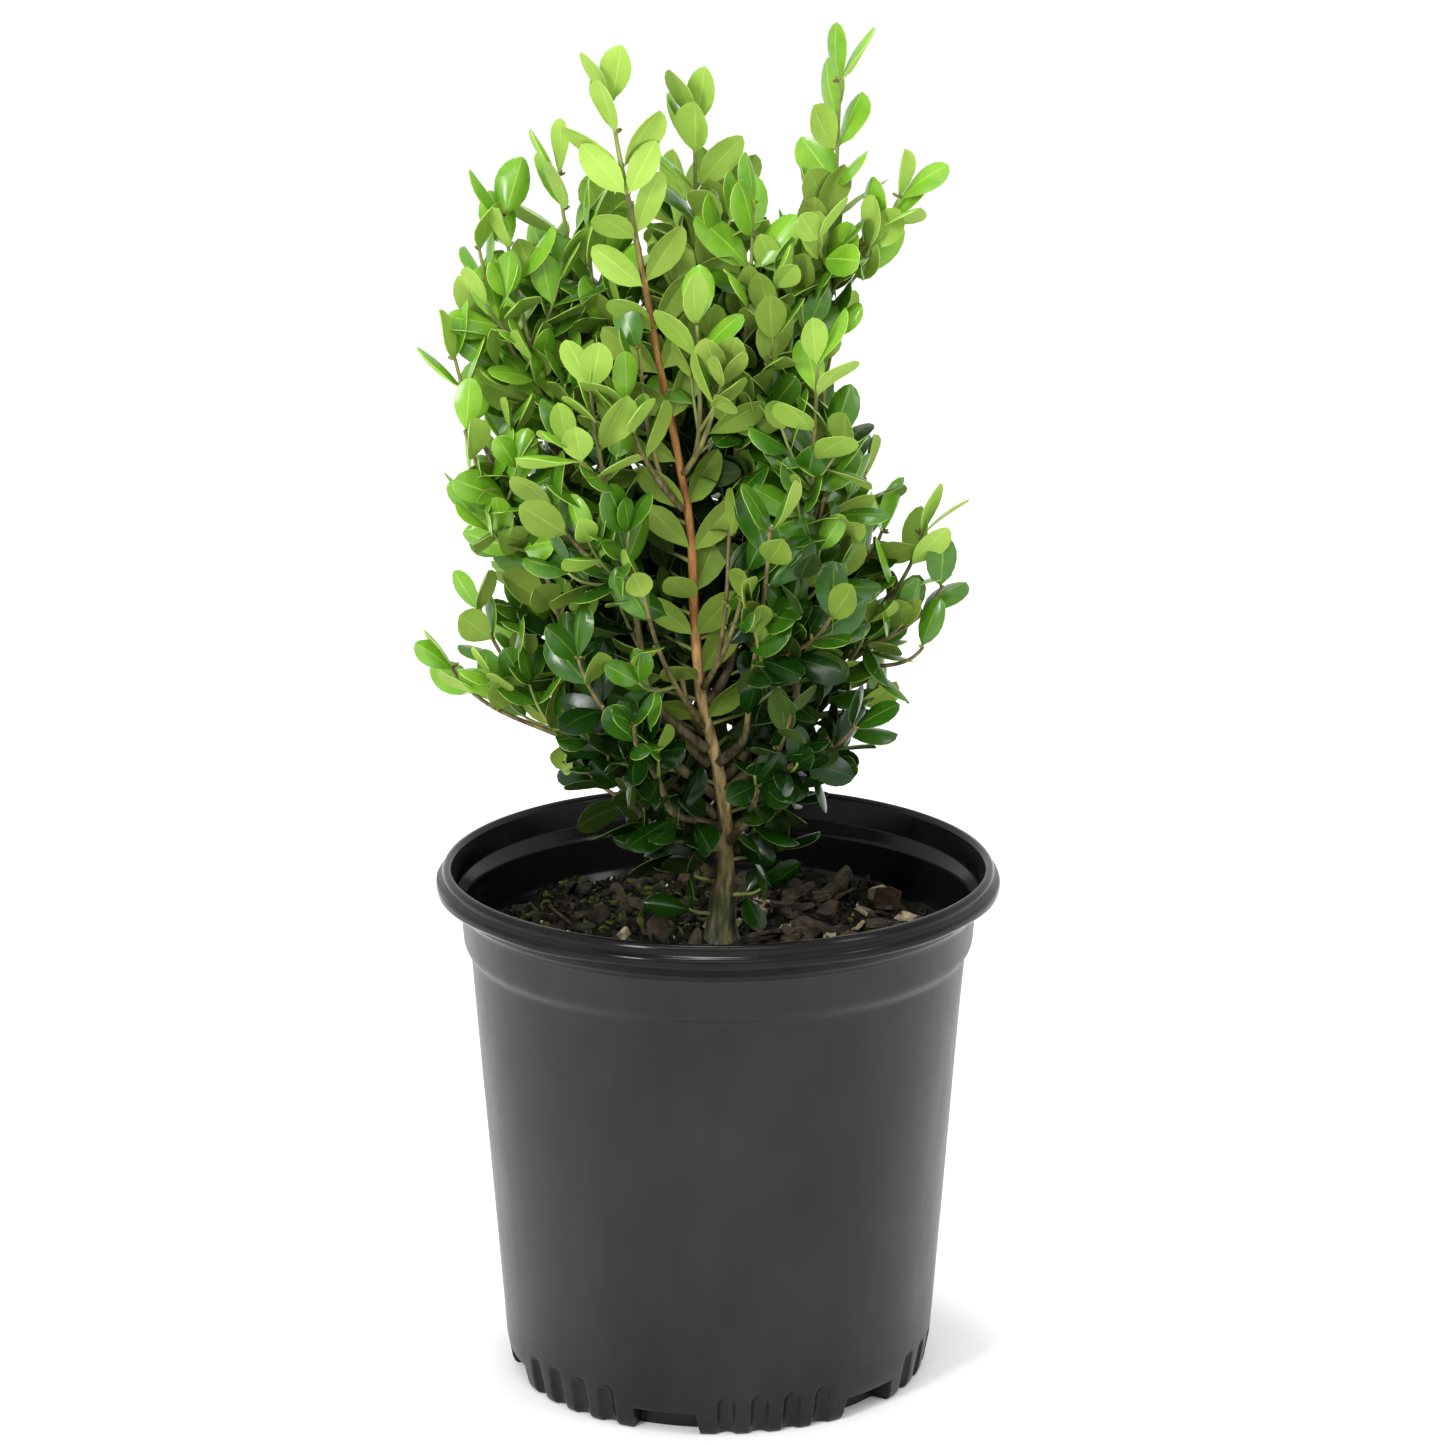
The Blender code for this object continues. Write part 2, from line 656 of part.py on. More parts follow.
def leaf_corners(template, leaf, length, width, thickness):
    """The six corners of a leaf: its sunken root, its tip, its two sides, and its upper and lower face."""
    side = leaf.upward.cross(leaf.along).normalized()
    top = leaf.along.cross(side)
    widest = leaf.root + leaf.along * (length * LEAF_WIDEST * MM)
    corners = []
    for x, y, z in template:
        if x < 0:
            corners.append(leaf.root - leaf.along * LEAF_ROOT * MM)
        elif x > 0:
            corners.append(leaf.root + leaf.along * length * MM)
        elif y:
            corners.append(widest + side * (y * width / 2 * MM))
        else:
            corners.append(widest + top * ((LEAF_CAMBER + z * thickness / 2) * MM))
    return corners


def leaf_pairs(shoot, chance):
    """The seeded pairs of leaves along a shoot, from its tip down, each pair a quarter turn from the last."""
    length = line_length(shoot.line)
    bare = STEM_BARE if shoot.number == 0 else TWIG_BARE
    count = max(int((length - bare * MM) // (LEAF_SPACING * MM)), 0)
    turn = chance.uniform(0.0, math.pi)
    leaves = []
    for pair in range(count + 1):
        distance = length - max(pair * LEAF_SPACING, LEAF_ROOT_BELOW_TIP) * MM
        root, direction, _ = along_line(shoot.line, distance)
        first, second = across(direction)
        age = min(pair / 2.0, 1.0)
        for side in (0.0, math.pi):
            angle = turn + pair * math.pi / 2 + side + chance.uniform(-LEAF_TURN_SPREAD, LEAF_TURN_SPREAD)
            outward = first * math.cos(angle) + second * math.sin(angle)
            open_angle = LEAF_ANGLE_TIP + (LEAF_ANGLE_OLD - LEAF_ANGLE_TIP) * age
            open_angle = math.radians(open_angle + chance.uniform(-LEAF_ANGLE_SPREAD, LEAF_ANGLE_SPREAD))
            along = direction * math.cos(open_angle) + outward * math.sin(open_angle)
            lean = outward.cross(direction) * chance.uniform(-LEAF_TWIST, LEAF_TWIST)
            upward = (direction + lean).normalized()
            size = LEAF_SIZE_FROM_TIP[min(pair, 2)] * chance.uniform(*LEAF_SIZE_SPREAD)
            leaves.append(Leaf(shoot, pair, root, along, upward, size))
    return leaves


def leaves_space(tip, spines, space):
    """True where a leaf's tip is further from the stem and the forks of its mass than its space reaches."""
    return all((tip - place).length > space * MM for line in spines for place, _ in samples(line))


def leaf_object(name, corners, group):
    """One leaf: an octahedron from the sphere primitive, with its six corners moved to the leaf's own."""
    shape = bmesh.new()
    bmesh.ops.create_uvsphere(shape, u_segments=4, v_segments=2, radius=1.0)
    for corner, place in zip(shape.verts, corners):
        corner.co = place
    mesh = bpy.data.meshes.new(name)
    shape.to_mesh(mesh)
    shape.free()
    return add_mesh_object(name, mesh, group)


def fuse(name, stem, pieces, group, material):
    """Join the twigs and leaves of one mass to its stem, and keep the one body that this makes."""
    join = stem.modifiers.new("fuse", "BOOLEAN")
    join.operation = "UNION"
    join.operand_type = "COLLECTION"
    join.collection = pieces
    join.solver = "EXACT"
    mesh = mesh_from(stem, name, FUSED_MERGE)
    keep_largest_body(mesh)
    bpy.data.objects.remove(stem)
    for item in list(pieces.objects):
        bpy.data.objects.remove(item)
    mesh.materials.clear()
    mesh.materials.append(material)
    return add_mesh_object(name, mesh, group)


def bodies_of(shape):
    """The separate groups of joined faces in a bmesh."""
    left = set(shape.faces)
    bodies = []
    while left:
        start = left.pop()
        body = {start}
        edge_of_body = [start]
        while edge_of_body:
            face = edge_of_body.pop()
            for edge in face.edges:
                for other in edge.link_faces:
                    if other in left:
                        left.remove(other)
                        body.add(other)
                        edge_of_body.append(other)
        bodies.append(body)
    return bodies


def keep_largest_body(mesh):
    """Drop scraps that no stem holds, and fill hollows that the fusing sealed."""
    shape = bmesh.new()
    shape.from_mesh(mesh)
    bmesh.ops.triangulate(shape, faces=shape.faces)
    bodies = sorted(bodies_of(shape), key=lambda body: sum(face.calc_area() for face in body))
    spare = [face for body in bodies[:-1] for face in body]
    bmesh.ops.delete(shape, geom=spare, context="FACES")
    shape.to_mesh(mesh)
    shape.free()


def reach_of(points):
    """The lowest and highest corner of a set of points."""
    low = Vector([min(point[i] for point in points) for i in range(3)])
    high = Vector([max(point[i] for point in points) for i in range(3)])
    return low, high


def apart(a, b):
    return any(a[0][i] > b[1][i] or b[0][i] > a[1][i] for i in range(3))


def guard_of(item, owner):
    """What a leaf is tested against: who owns a solid, the box round it, and a tree of its faces."""
    places = [corner.co for corner in item.data.vertices]
    faces = [list(face.vertices) for face in item.data.polygons]
    return owner, reach_of(places), BVHTree.FromPolygons(places, faces)


def grow_shoots(trunk_line, bough_lines, chance):
    """Every stem and fork, and each side twig that keeps clear of the limbs and of the other masses."""
    filled = filled_by(trunk_line, "trunk")
    for mass, line in bough_lines.items():
        filled += filled_by(line, f"bough of {mass}")
    grown = {mass: shoot_lines(mass, trunk_line, bough_lines.get(mass), chance) for mass in MASSES}
    for mass, (spines, _) in grown.items():
        for line in spines:
            filled += filled_by(line, mass)
    shoots = {}
    for mass, (spines, twigs) in grown.items():
        shoots[mass] = [Shoot(mass, number, line, True) for number, line in enumerate(spines)]
        for line in twigs:
            if clear_of(filled, line, mass):
                filled += filled_by(line, mass)
                shoots[mass].append(Shoot(mass, len(shoots[mass]), line, False))
    return shoots


def place_leaves(shoots, guards, chance):
    """Try every leaf, from the tips inwards; keep those that stay in their space and touch nothing else."""
    template, faces = leaf_template()
    tip_corner = template.index((1, 0, 0))
    tried = [leaf for mass in MASSES for shoot in shoots[mass] for leaf in leaf_pairs(shoot, chance)]
    kept = {mass: [] for mass in MASSES}
    for leaf in sorted(tried, key=lambda leaf: leaf.pair):
        mass = leaf.shoot.mass
        length, width = LEAF_LENGTH * leaf.size, LEAF_WIDTH * leaf.size
        corners = leaf_corners(template, leaf, length, width, LEAF_THICKNESS)
        spines = [shoot.line for shoot in shoots[mass] if shoot.is_spine]
        if leaves_space(corners[tip_corner], spines, MASSES[mass][3]):
            continue
        spare = 2 * LEAF_CLEARANCE
        wide = leaf_corners(template, leaf, length + spare, width + spare, LEAF_THICKNESS + spare)
        reach = reach_of(wide)
        tree = BVHTree.FromPolygons(wide, faces)
        own = ((mass, leaf.shoot.number), (mass, leaf.shoot.number, leaf.pair))
        near = [tree_of for owner, box, tree_of in guards if owner not in own and not apart(reach, box)]
        if any(tree_of.overlap(tree) for tree_of in near):
            continue
        kept[mass].append((leaf, corners))
        guards.append((own[1], reach, BVHTree.FromPolygons(corners, faces)))
    return kept


def make_foliage(group, trunk, trunk_line, boughs, materials):
    """Grow every mass: stems, then twigs, then leaves from the tips in, each mass fused into one body."""
    section = three_sided_section()
    workshop = new_collection("twigs_to_fuse")
    chance = random.Random(CROWN_SEED)
    shoots = grow_shoots(trunk_line, {mass: line for mass, (_, line) in boughs.items()}, chance)
    guards = [guard_of(item, "limb") for item in [trunk] + [bough for bough, _ in boughs.values()]]
    tubes = {}
    for mass in MASSES:
        for shoot in shoots[mass]:
            item = tube(f"{mass}_shoot_{shoot.number}", shoot.line, workshop, section)
            tubes[mass, shoot.number] = item
            guards.append(guard_of(item, (mass, shoot.number)))
    leaves = place_leaves(shoots, guards, chance)
    for number, mass in enumerate(MASSES):
        pieces = new_collection(f"{mass}_pieces")
        for shoot in shoots[mass][1:]:
            carried = sum(leaf.shoot is shoot for leaf, _ in leaves[mass])
            if shoot.is_spine or carried >= TWIG_LEAVES_LEAST:
                pieces.objects.link(tubes[mass, shoot.number])
        for k, (leaf, corners) in enumerate(leaves[mass]):
            if tubes[mass, leaf.shoot.number].name in pieces.objects or leaf.shoot.number == 0:
                leaf_object(f"{mass}_leaf_{k}", corners, pieces)
        fuse(f"foliage_{mass}", tubes[mass, 0], pieces, group, materials[number % len(materials)])
        bpy.data.collections.remove(pieces)
    for item in list(workshop.objects):
        bpy.data.objects.remove(item)
    bpy.data.collections.remove(workshop)


def main():
    clear_scene()
    parts = new_collection(OBJECT_NAME)
    make_soil(parts, new_material("potting_soil", SOIL_COLOUR, 0.95))
    trunk, trunk_line = make_trunk(parts, new_material("pale_bark", BARK_COLOUR, 0.75))
    bark = new_material("young_bark", BOUGH_COLOUR, 0.65)
    boughs = {}
    for mass, (height, tip, tips, _) in MASSES.items():
        if tip is not None:
            boughs[mass] = make_bough(f"bough_{mass}", height, tip, tips[0], trunk_line, parts, bark)
    greens = [new_material(f"leaf_green_{k}", colour, 0.38) for k, colour in enumerate(LEAF_COLOURS)]
    make_foliage(parts, trunk, trunk_line, boughs, greens)
    cutters = new_collection("pot_cutters")
    make_pot(parts, cutters, new_material("black_pot_plastic", POT_COLOUR, 0.32))
    base = bpy.data.objects.new("plant_base", None)
    parts.objects.link(base)
    for item in parts.objects:
        if item is not base:
            item.parent = base


main()
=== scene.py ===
"""Looks of a young wintergreen boxwood in the black pot it was grown in.

Sizes are millimetres, turned into metres by MM when a mesh is made. The origin is on the pot's axis at the
level of its feet, +Z is up, and the plant is seen from -Y. Every mesh is worked out as whole numpy arrays: a
turned profile, a tube carried along a path, or one small template placed many times.
"""

import math
from collections import namedtuple

import bpy
import numpy as np
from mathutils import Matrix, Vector


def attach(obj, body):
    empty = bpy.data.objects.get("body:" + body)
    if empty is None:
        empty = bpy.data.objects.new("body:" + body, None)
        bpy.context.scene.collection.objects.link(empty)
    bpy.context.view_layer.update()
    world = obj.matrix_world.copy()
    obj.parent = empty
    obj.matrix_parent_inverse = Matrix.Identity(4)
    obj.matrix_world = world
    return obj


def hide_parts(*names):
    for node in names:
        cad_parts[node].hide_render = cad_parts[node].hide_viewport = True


MM = 0.001
UP = np.array((0.0, 0.0, 1.0))
ANY_SIDE = np.array((0.36, -0.93, 0.1))

# The view of the photograph.
CAMERA_PLACE = (1.475, -1752.31, 722.13)
CAMERA_PITCH = 0.2710
CAMERA_LENS = 130.71
SENSOR_WIDTH = 36.0
VIEW_END = 60.0

# The light: an even surround, and soft lamps with their place and size in metres and their power in watts.
SURROUND_STRENGTH = 1.08
LAMPS = (
    ("window_left", (-1.1, -1.6, 1.1), (0.3, 0.7), 26.0),
    ("window_right", (1.5, -0.9, 1.0), (0.4, 0.8), 6.0),
    ("front_strip", (0.0, -1.7, 1.7), (1.8, 0.12), 9.0),
    ("top", (-0.1, 0.2, 1.9), (0.4, 0.4), 13.0),
)
LAMPS_AIM = (0.0, 0.0, 0.3)
FLOOR_HALF = 9000.0

# The pot. The rim's outline has (radius, height) points up its inside, over its lips and down its outside.
RIM_RADIUS = 98.5
RIM_OUTLINE = (
    (87.2, 157.6), (88.5, 170.9), (91.6, 174.6), (92.8, 183.6), (94.0, 185.0), (95.6, 184.6),
    (96.4, 183.1), (96.1, 181.5), (98.0, 180.7), (RIM_RADIUS, 179.7), (RIM_RADIUS, 177.7), (97.5, 176.7),
    (91.4, 172.6), (90.1, 170.5), (89.1, 158.6), (88.4, 156.4), (87.0, 154.8),
)
# From this height up the rim, and the whole inside, take the glossier plastic with painted shade: a darker
# colour and a weaker shine.
RIM_GLOSS_AND_SHADE_FROM = 171.0
LIP_HEIGHT, LIP_SPREAD, LIP_WAVE = 178.5, 4.0, 0.35
CRISP_FROM = 172.0
CRISP_EDGE, SOFT_EDGE = 0.5, 1.1
BODY_TOP_RADIUS, BODY_TOP = 86.6, 153.6
BODY_FOOT_RADIUS, BODY_FOOT = 75.5, 12.0
BODY_TAPER = (BODY_TOP_RADIUS - BODY_FOOT_RADIUS) / (BODY_TOP - BODY_FOOT)
BODY_WAVE = 0.12
WALL = 1.6
HEEL_THICKNESS, HEEL_TOP, HEEL_EASE = 4.4, 22.0, 3.0
FLOOR_UNDERSIDE, FLOOR_TOP = 6.0, 8.0
INSIDE_SHARE = 0.4
COARSE_STEP, FINE_STEP, FINE_BELOW = 14.0, 1.1, 21.0
FOOT_PADS = 6
PAD_TURN = 360.0 / FOOT_PADS
FLUTES_PER_PAD = 4
FIRST_PAD_ANGLE = 15.5
FLUTE_PITCH = 8.9
FLUTE_RADIUS, FLUTE_TOP, FLUTE_DEPTH = 3.2, 15.2, 2.3
NOTCH_HALF_ANGLE, NOTCH_SLOPE_ANGLE = 8.6, 0.95
NOTCH_BACK_RADIUS, NOTCH_BACK_HEIGHT = 66.0, 6.1
NOTCH_TOP_RISE = 0.26
DRAIN_HOLES = 6
DRAIN_HOLE_RADIUS, DRAIN_CIRCLE_RADIUS = 5.0, 46.0
DRAIN_SIDES = 24

# The soil: the size and the height of its lumps, and the rings of its side below its top.
SOIL_LEVEL = 157.0
SOIL_SEED = 5
SOIL_RADIUS = 86.2
SOIL_COLUMNS = 300
SOIL_LUMPS = ((26.0, 1.5), (9.0, 1.1), (3.4, 0.8))
SOIL_BASE = 8.3
SOIL_SIDE = ((SOIL_RADIUS - 0.4, 152.0), (75.0, 25.5), (70.6, 19.0), (70.6, 12.0), (65.0, SOIL_BASE))

# What lies on the soil: how many, which side they keep to (from all on the left at -1 to all on the right
# at 1), their least and greatest length, their thickness, how far they tilt, and the two colours they lie
# between.
CHIPS = (
    ("bark_chips_dark", 150, 0.0, (2.2, 6.5), 1.3, 0.6, (0.004, 0.004, 0.002), (0.020, 0.016, 0.007)),
    ("bark_chips_brown", 120, 0.35, (2.5, 9.5), 1.5, 0.5, (0.010, 0.008, 0.004), (0.065, 0.046, 0.027)),
    ("bark_chips_tan", 34, 0.5, (2.4, 9.5), 1.3, 0.45, (0.085, 0.066, 0.034), (0.380, 0.320, 0.195)),
    ("moss_crumbs", 420, -0.6, (0.8, 3.2), 1.1, 0.7, (0.006, 0.011, 0.001), (0.060, 0.075, 0.010)),
    ("white_grit", 40, 0.3, (0.5, 1.4), 1.0, 0.6, (0.300, 0.290, 0.230), (0.600, 0.590, 0.520)),
    ("soil_crumbs", 900, 0.0, (0.8, 2.6), 1.6, 0.9, (0.001, 0.001, 0.0005), (0.014, 0.012, 0.005)),
)
CHIP_CORNERS = 8
CHIP_TOP_SHARE = 0.9
CLEAR_OF_TRUNK = 9.0

# The trunk's centre line and its radius there.
TRUNK_LINE = (
    (0.9, 0.0, 155.8, 6.0), (0.9, 0.0, 159.5, 5.3), (1.4, 0.0, 167.0, 4.9), (2.0, -0.3, 176.0, 4.1),
    (2.5, -1.5, 187.0, 2.9), (2.3, -5.0, 204.0, 2.4), (-0.9, -11.0, 226.0, 2.1), (-5.6, -16.0, 248.0, 1.9),
    (-7.9, -21.5, 276.0, 1.7), (-9.2, -24.5, 308.0, 1.5), (-14.0, -25.0, 338.0, 1.35),
    (-19.6, -23.5, 366.0, 1.2), (-25.0, -21.0, 396.0, 1.05), (-30.4, -20.0, 424.0, 0.95),
)
TRUNK_FOOT = 155.8

# Each mass of foliage: the height on the trunk that its limb or stem leaves from, the tip of the bough
# that carries it (None where the stem leaves the trunk itself), the tips of its stem and of its forks,
# how far from these its foliage may stand, and how light its greens are, from -1 for old leaves in the
# shade to 1 for new ones.
MASSES = {
    "leader_tip": (None, None, ((-35, -20, 451),), 26, -0.1),
    "leader_left": (318, None, ((-30, -46, 354), (-26, -34, 370)), 28, 0.1),
    "leader_right": (330, None, ((0, -44, 362), (-7, -34, 378)), 28, 0.0),
    "leader_foot_left": (240, None, ((-24, -52, 290), (-12, -44, 306)), 28, 0.1),
    "leader_foot_right": (254, None, ((9, -50, 298), (4, -42, 318)), 28, 0.0),
    "middle_spire": (240, (-4, 2, 304), ((-8, 4, 440), (2, 13, 412)), 26, 0.2),
    "inner_spire": (
        247, (5, -11, 304), ((12, -12, 415), (18, -28, 372), (26, -4, 392), (33, 6, 408)), 26, 0.2,
    ),
    "right_spire": (
        218, (34, 6, 306), ((41, 10, 453), (60, -4, 416), (34, -14, 404), (50, 0, 398)), 24, 0.45,
    ),
    "left_upper": (236, (-31, 10, 306), ((-54, 15, 420), (-38, 30, 400), (-44, 8, 402)), 28, 0.55),
    "left_shoulder": (224, (-47, 1, 296), ((-72, 0, 409), (-80, 0, 397), (-60, 22, 386)), 27, 0.5),
    "left_arm": (213, (-53, -13, 272), ((-88, -12, 362), (-84, -32, 342)), 26, 0.5),
    "left_middle": (203, (-42, 10, 238), ((-80, 10, 304), (-64, 32, 292)), 28, 0.5),
    "left_low": (181, (-34, -9, 216), ((-89, -18, 256), (-66, 18, 250), (-80, -16, 276)), 28, 0.3),
    "left_skirt": (190, None, ((-46, 12, 214), (-34, 30, 220)), 26, -0.5),
    "right_cluster": (198, (32, -3, 236), ((69, -2, 299), (75, -4, 281), (68, -18, 264)), 28, 0.6),
    "right_knob": (207, (28, 10, 250), ((50, 10, 316), (38, 30, 298), (55, 2, 299)), 26, 0.4),
    "right_low": (190, (22, 3, 211), ((55, 4, 246), (36, -14, 218)), 26, 0.4),
    "right_front": (215, (27, -24, 256), ((33, -40, 366), (38, -30, 338)), 26, 0.45),
    "front_right": (226, (10, -27, 242), ((17, -60, 314), (36, -50, 282)), 28, 0.0),
    "front_left": (232, (-25, -30, 262), ((-42, -50, 360), (-54, -42, 318)), 28, 0.1),
    "front_left_low": (200, (-18, -22, 214), ((-46, -50, 268), (-28, -60, 248)), 28, -0.5),
    "front_right_low": (196, (12, -20, 211), ((24, -54, 250), (44, -36, 240)), 28, -0.5),
    "back_left_low": (186, (-18, 26, 214), ((-50, 62, 264), (-24, 66, 240)), 28, -0.2),
    "back_right_low": (194, (16, 26, 214), ((46, 60, 270), (14, 68, 246)), 28, -0.2),
    "back_left": (209, (-23, 27, 246), ((-54, 54, 346), (-22, 66, 312)), 28, 0.0),
    "back_right": (212, (21, 26, 250), ((24, 50, 360), (12, 62, 326)), 28, 0.1),
    "back_top": (228, (-8, 20, 290), ((-12, 40, 406), (14, 42, 382)), 28, 0.1),
}
FOLIAGE_NODES = [f"foliage_{mass}" for mass in MASSES]

# How far the crown reaches to the left and to the right, as seen in the photograph's view, at heights up it.
CROWN_SIDES = (
    (190, -60, 50), (212, -57, 50), (224, -54, 61), (236, -62, 64), (248, -84, 67), (260, -111, 68),
    (272, -108, 76), (284, -95, 82), (296, -84, 87), (308, -88, 88), (320, -90, 78), (332, -92, 60),
    (344, -91, 50), (356, -99, 44), (368, -103, 44), (380, -102, 44), (392, -88, 50), (404, -83, 57),
    (416, -89, 69), (428, -82, 74), (440, -71, 74), (452, -58, 54), (464, -50, 46), (490, -50, 46),
)
# Gaps in the crown that show sky, in the same view: their place to the side and in height, half their
# width and half their height.
SKY_GAPS = ((-7, 350, 5.2, 15.8), (20, 438, 4.5, 14.0), (37, 235, 2.8, 7.2))

# Where a mass's forks leave its stem and where its side twigs end, where that isn't as on the others.
FORK_PLACES = {"right_spire": 0.52}
FREE_TIPS = {"right_spire": 78.0, "middle_spire": 44.0, "leader_tip": 60.0}

# The limbs and twigs. What varies has a spread, or its least and its greatest value.
BOUGH_RADIUS, BOUGH_TIP_RADIUS = 1.75, 1.15
BOUGH_RISE_ANGLE = 42.0
BOUGH_SINK = 1.4
STEM_RADIUS, STEM_TIP_RADIUS = 1.15, 0.6
STEM_SINK = 0.6
FORK_RADIUS, FORK_PLACE = 0.95, 0.22
LIMB_BEND = 0.38
CLEARANCE = 0.3
TIP_REACH = 4.0
TWIG_RADIUS, TWIG_TIP_RADIUS = 0.75, 0.45
TWIG_SPACING, TWIG_PLACE_SPREAD = 21.0, 0.15
TWIG_LENGTH_SHARE, TWIG_LENGTH_LEAST, TWIG_LENGTH_SPREAD = 0.28, 10.0, (0.7, 1.15)
TWIG_FREE_TIP = 32.0
TWIG_ANGLE, TWIG_ANGLE_SPREAD, TWIG_TURN_SPREAD = 42.0, 8.0, 0.4
TWIG_INSIDE_SPACE = 5.0
TWIG_LIFT = 0.22
BOUGH_TWIG_SPACING, BOUGH_TWIG_SHARE, BOUGH_BARE_SHARE = 10.0, 0.08, 0.18
BOUGH_POINTS, STEM_POINTS, TWIG_POINTS = 24, 20, 8
CROWN_SEED = 21
LEADER_LEAVES_FROM = 234.0
LEADER_SHOWS = (180.0, 430.0)
LEADER_OPEN = (226.0, 345.0)

# Short shoots round the foot of the trunk: the height they leave it at, which way, in degrees from the
# right and against the clock as seen from above, and their length.
FOOT_SHOOTS = (
    (166.0, 205.0, 5.0), (173.0, 330.0, 9.0), (178.0, 190.0, 6.0), (186.0, 345.0, 12.0),
    (190.0, 225.0, 8.0), (196.0, 300.0, 9.0), (199.0, 160.0, 10.0), (204.0, 20.0, 11.0),
)
# Shaded short shoots on the trunk inside the crown: from and to which height, how far apart, and their ways.
INNER_SHOOT_HEIGHTS = (197.0, 330.0, 4.6)
INNER_SHOOT_WAYS = (60.0, 140.0, 20.0, 105.0, 170.0, 82.0, 125.0)
INNER_SHOOT_LENGTH = 19.0
TRUNK_SHOOT_RADIUS, TRUNK_SHOOT_TIP_RADIUS = 0.8, 0.5

# The leaves. Along a kind of shoot they have a spacing, a bare foot, and sizes and opening angles from
# its tip down.
LEAF_LENGTH = 23.0
LEAF_THICKNESS = 0.26
MIDRIB_RELIEF = 0.10
LOW_LEAF_SIZES = ((215.0, 310.0), (0.80, 1.0))
LEAF_STATIONS = (0.07, 0.19, 0.35, 0.52, 0.68, 0.83, 0.945)
LEAF_TOP_PLACES = (-1.0, -0.5, -0.045, 0.045, 0.5, 1.0)
LEAF_UNDER_PLACES = (-1.0, -0.05, 0.05, 1.0)
TIP_ROUNDNESS = 0.64
STALK_SHARE, STALK_HALF_WIDTH, STALK_END = 0.07, 0.45, 0.9
LEAF_ROOM = 3.9
LEADER_PAIRS = {"spacing": 15.5, "bare": 4.0, "sizes": (0.92, 1.00, 1.04), "angles": (30, 35, 40)}
SHORT_PAIRS = {"spacing": 7.0, "bare": 4.0, "sizes": (0.8, 0.7), "angles": (30, 50)}
BOUGH_PAIRS = {"spacing": 8.5, "sizes": (0.8, 0.86), "angles": (46, 58)}
STEM_PAIRS = {"spacing": 11.5, "bare": 8.0, "sizes": (0.86, 0.98, 1.04, 1.04), "angles": (17, 27, 38, 48)}
TWIG_PAIRS = {"spacing": 9.0, "bare": 4.0, "sizes": (0.72, 0.88, 0.94), "angles": (18, 33, 46)}
BOUGH_PAIRS_BARE_SHARE = 0.12
PLACE_SPREAD, TURN_SPREAD, ANGLE_SPREAD, LEAN_SPREAD, SIZE_SPREAD = 0.08, 0.3, 8.0, 0.65, (0.9, 1.08)
LEADER_WAY = {"turn": -0.45, "step": 0.85, "facing": np.array((0.0, 1.7, 0.0))}
LEADER_SLIMNESS = 0.86
TURN_INWARD = 0.30
TURN_RANGE = (-0.85, 1.0)
LEAF_SPREADS = {
    "slimness": (0.49, 0.60),
    "shape": (0.58, 0.90),
    "arch": (0.10, 0.60),
    "rise": (0.0, 0.10),
    "bend": (0.08, 0.36),
    "twist": (-0.35, 0.35),
    "wave": (0.0, 0.10),
    "phase": (0.0, math.tau),
}
FEWEST_LEAVES = 3
SIDE_SHOOT_REACH, TRIM_PAST = 4.5, 1.2
BUD_LENGTH, BUD_RADIUS = 2.6, 0.6

# The greens that leaves are dealt out to, from old leaves in painted shade to new ones in painted light: the
# material slot, how much the upper face shines, and the two colours that the upper face and the lower face
# lie between. A leaf's lightness, partly its age and partly painted light and shade, is compared with the
# limits.
GREENS = (
    ("old_leaves_in_painted_shade", "leaf_green_0", 0.24,
     ((0.002, 0.016, 0.001), (0.007, 0.034, 0.002)), ((0.014, 0.036, 0.004), (0.040, 0.075, 0.009))),
    ("grown_leaves_in_painted_half_light", "leaf_green_1", 0.32,
     ((0.010, 0.052, 0.002), (0.030, 0.105, 0.005)), ((0.115, 0.195, 0.022), (0.180, 0.280, 0.036))),
    ("young_leaves_in_painted_light", "leaf_green_2", 0.36,
     ((0.030, 0.115, 0.005), (0.080, 0.205, 0.011)), ((0.185, 0.290, 0.040), (0.260, 0.375, 0.060))),
    ("new_leaves_in_painted_full_light", "leaf_green_2", 0.36,
     ((0.100, 0.265, 0.012), (0.200, 0.400, 0.028)), ((0.250, 0.400, 0.052), (0.330, 0.500, 0.085))),
)
LIGHT_LIMITS = (0.33, 0.58, 0.92)
# How light a leaf's colour is painted, besides its age: lighter higher up, in the open, on the left towards
# the strongest lamp and on the leader in front; darker on the short shoots inside the crown, on the boughs
# and down each shoot.
HEIGHT_LIGHT, OPEN_LIGHT, OWN_LIGHT, LEFT_LIGHT, LIGHT_LESS = 0.52, 0.52, 0.42, 0.36, 0.12
LIGHT_FOOT, LIGHT_RISE = 190.0, 240.0
LEADER_LIGHTS = ((240.0, 420.0), (0.85, -0.1))
SHORT_SHOOT_LIGHT, BOUGH_LIGHT = -1.4, -1.1
SHOOT_LIGHT_SPREAD, ON_BOUGH_SHADE, PAIR_SHADE = 0.26, 0.6, 0.08
CROWN_AXIS = np.array((-2.0, 8.0, 0.0))
SHADE_REACH, SHADE_CONE = 46.0, 0.35

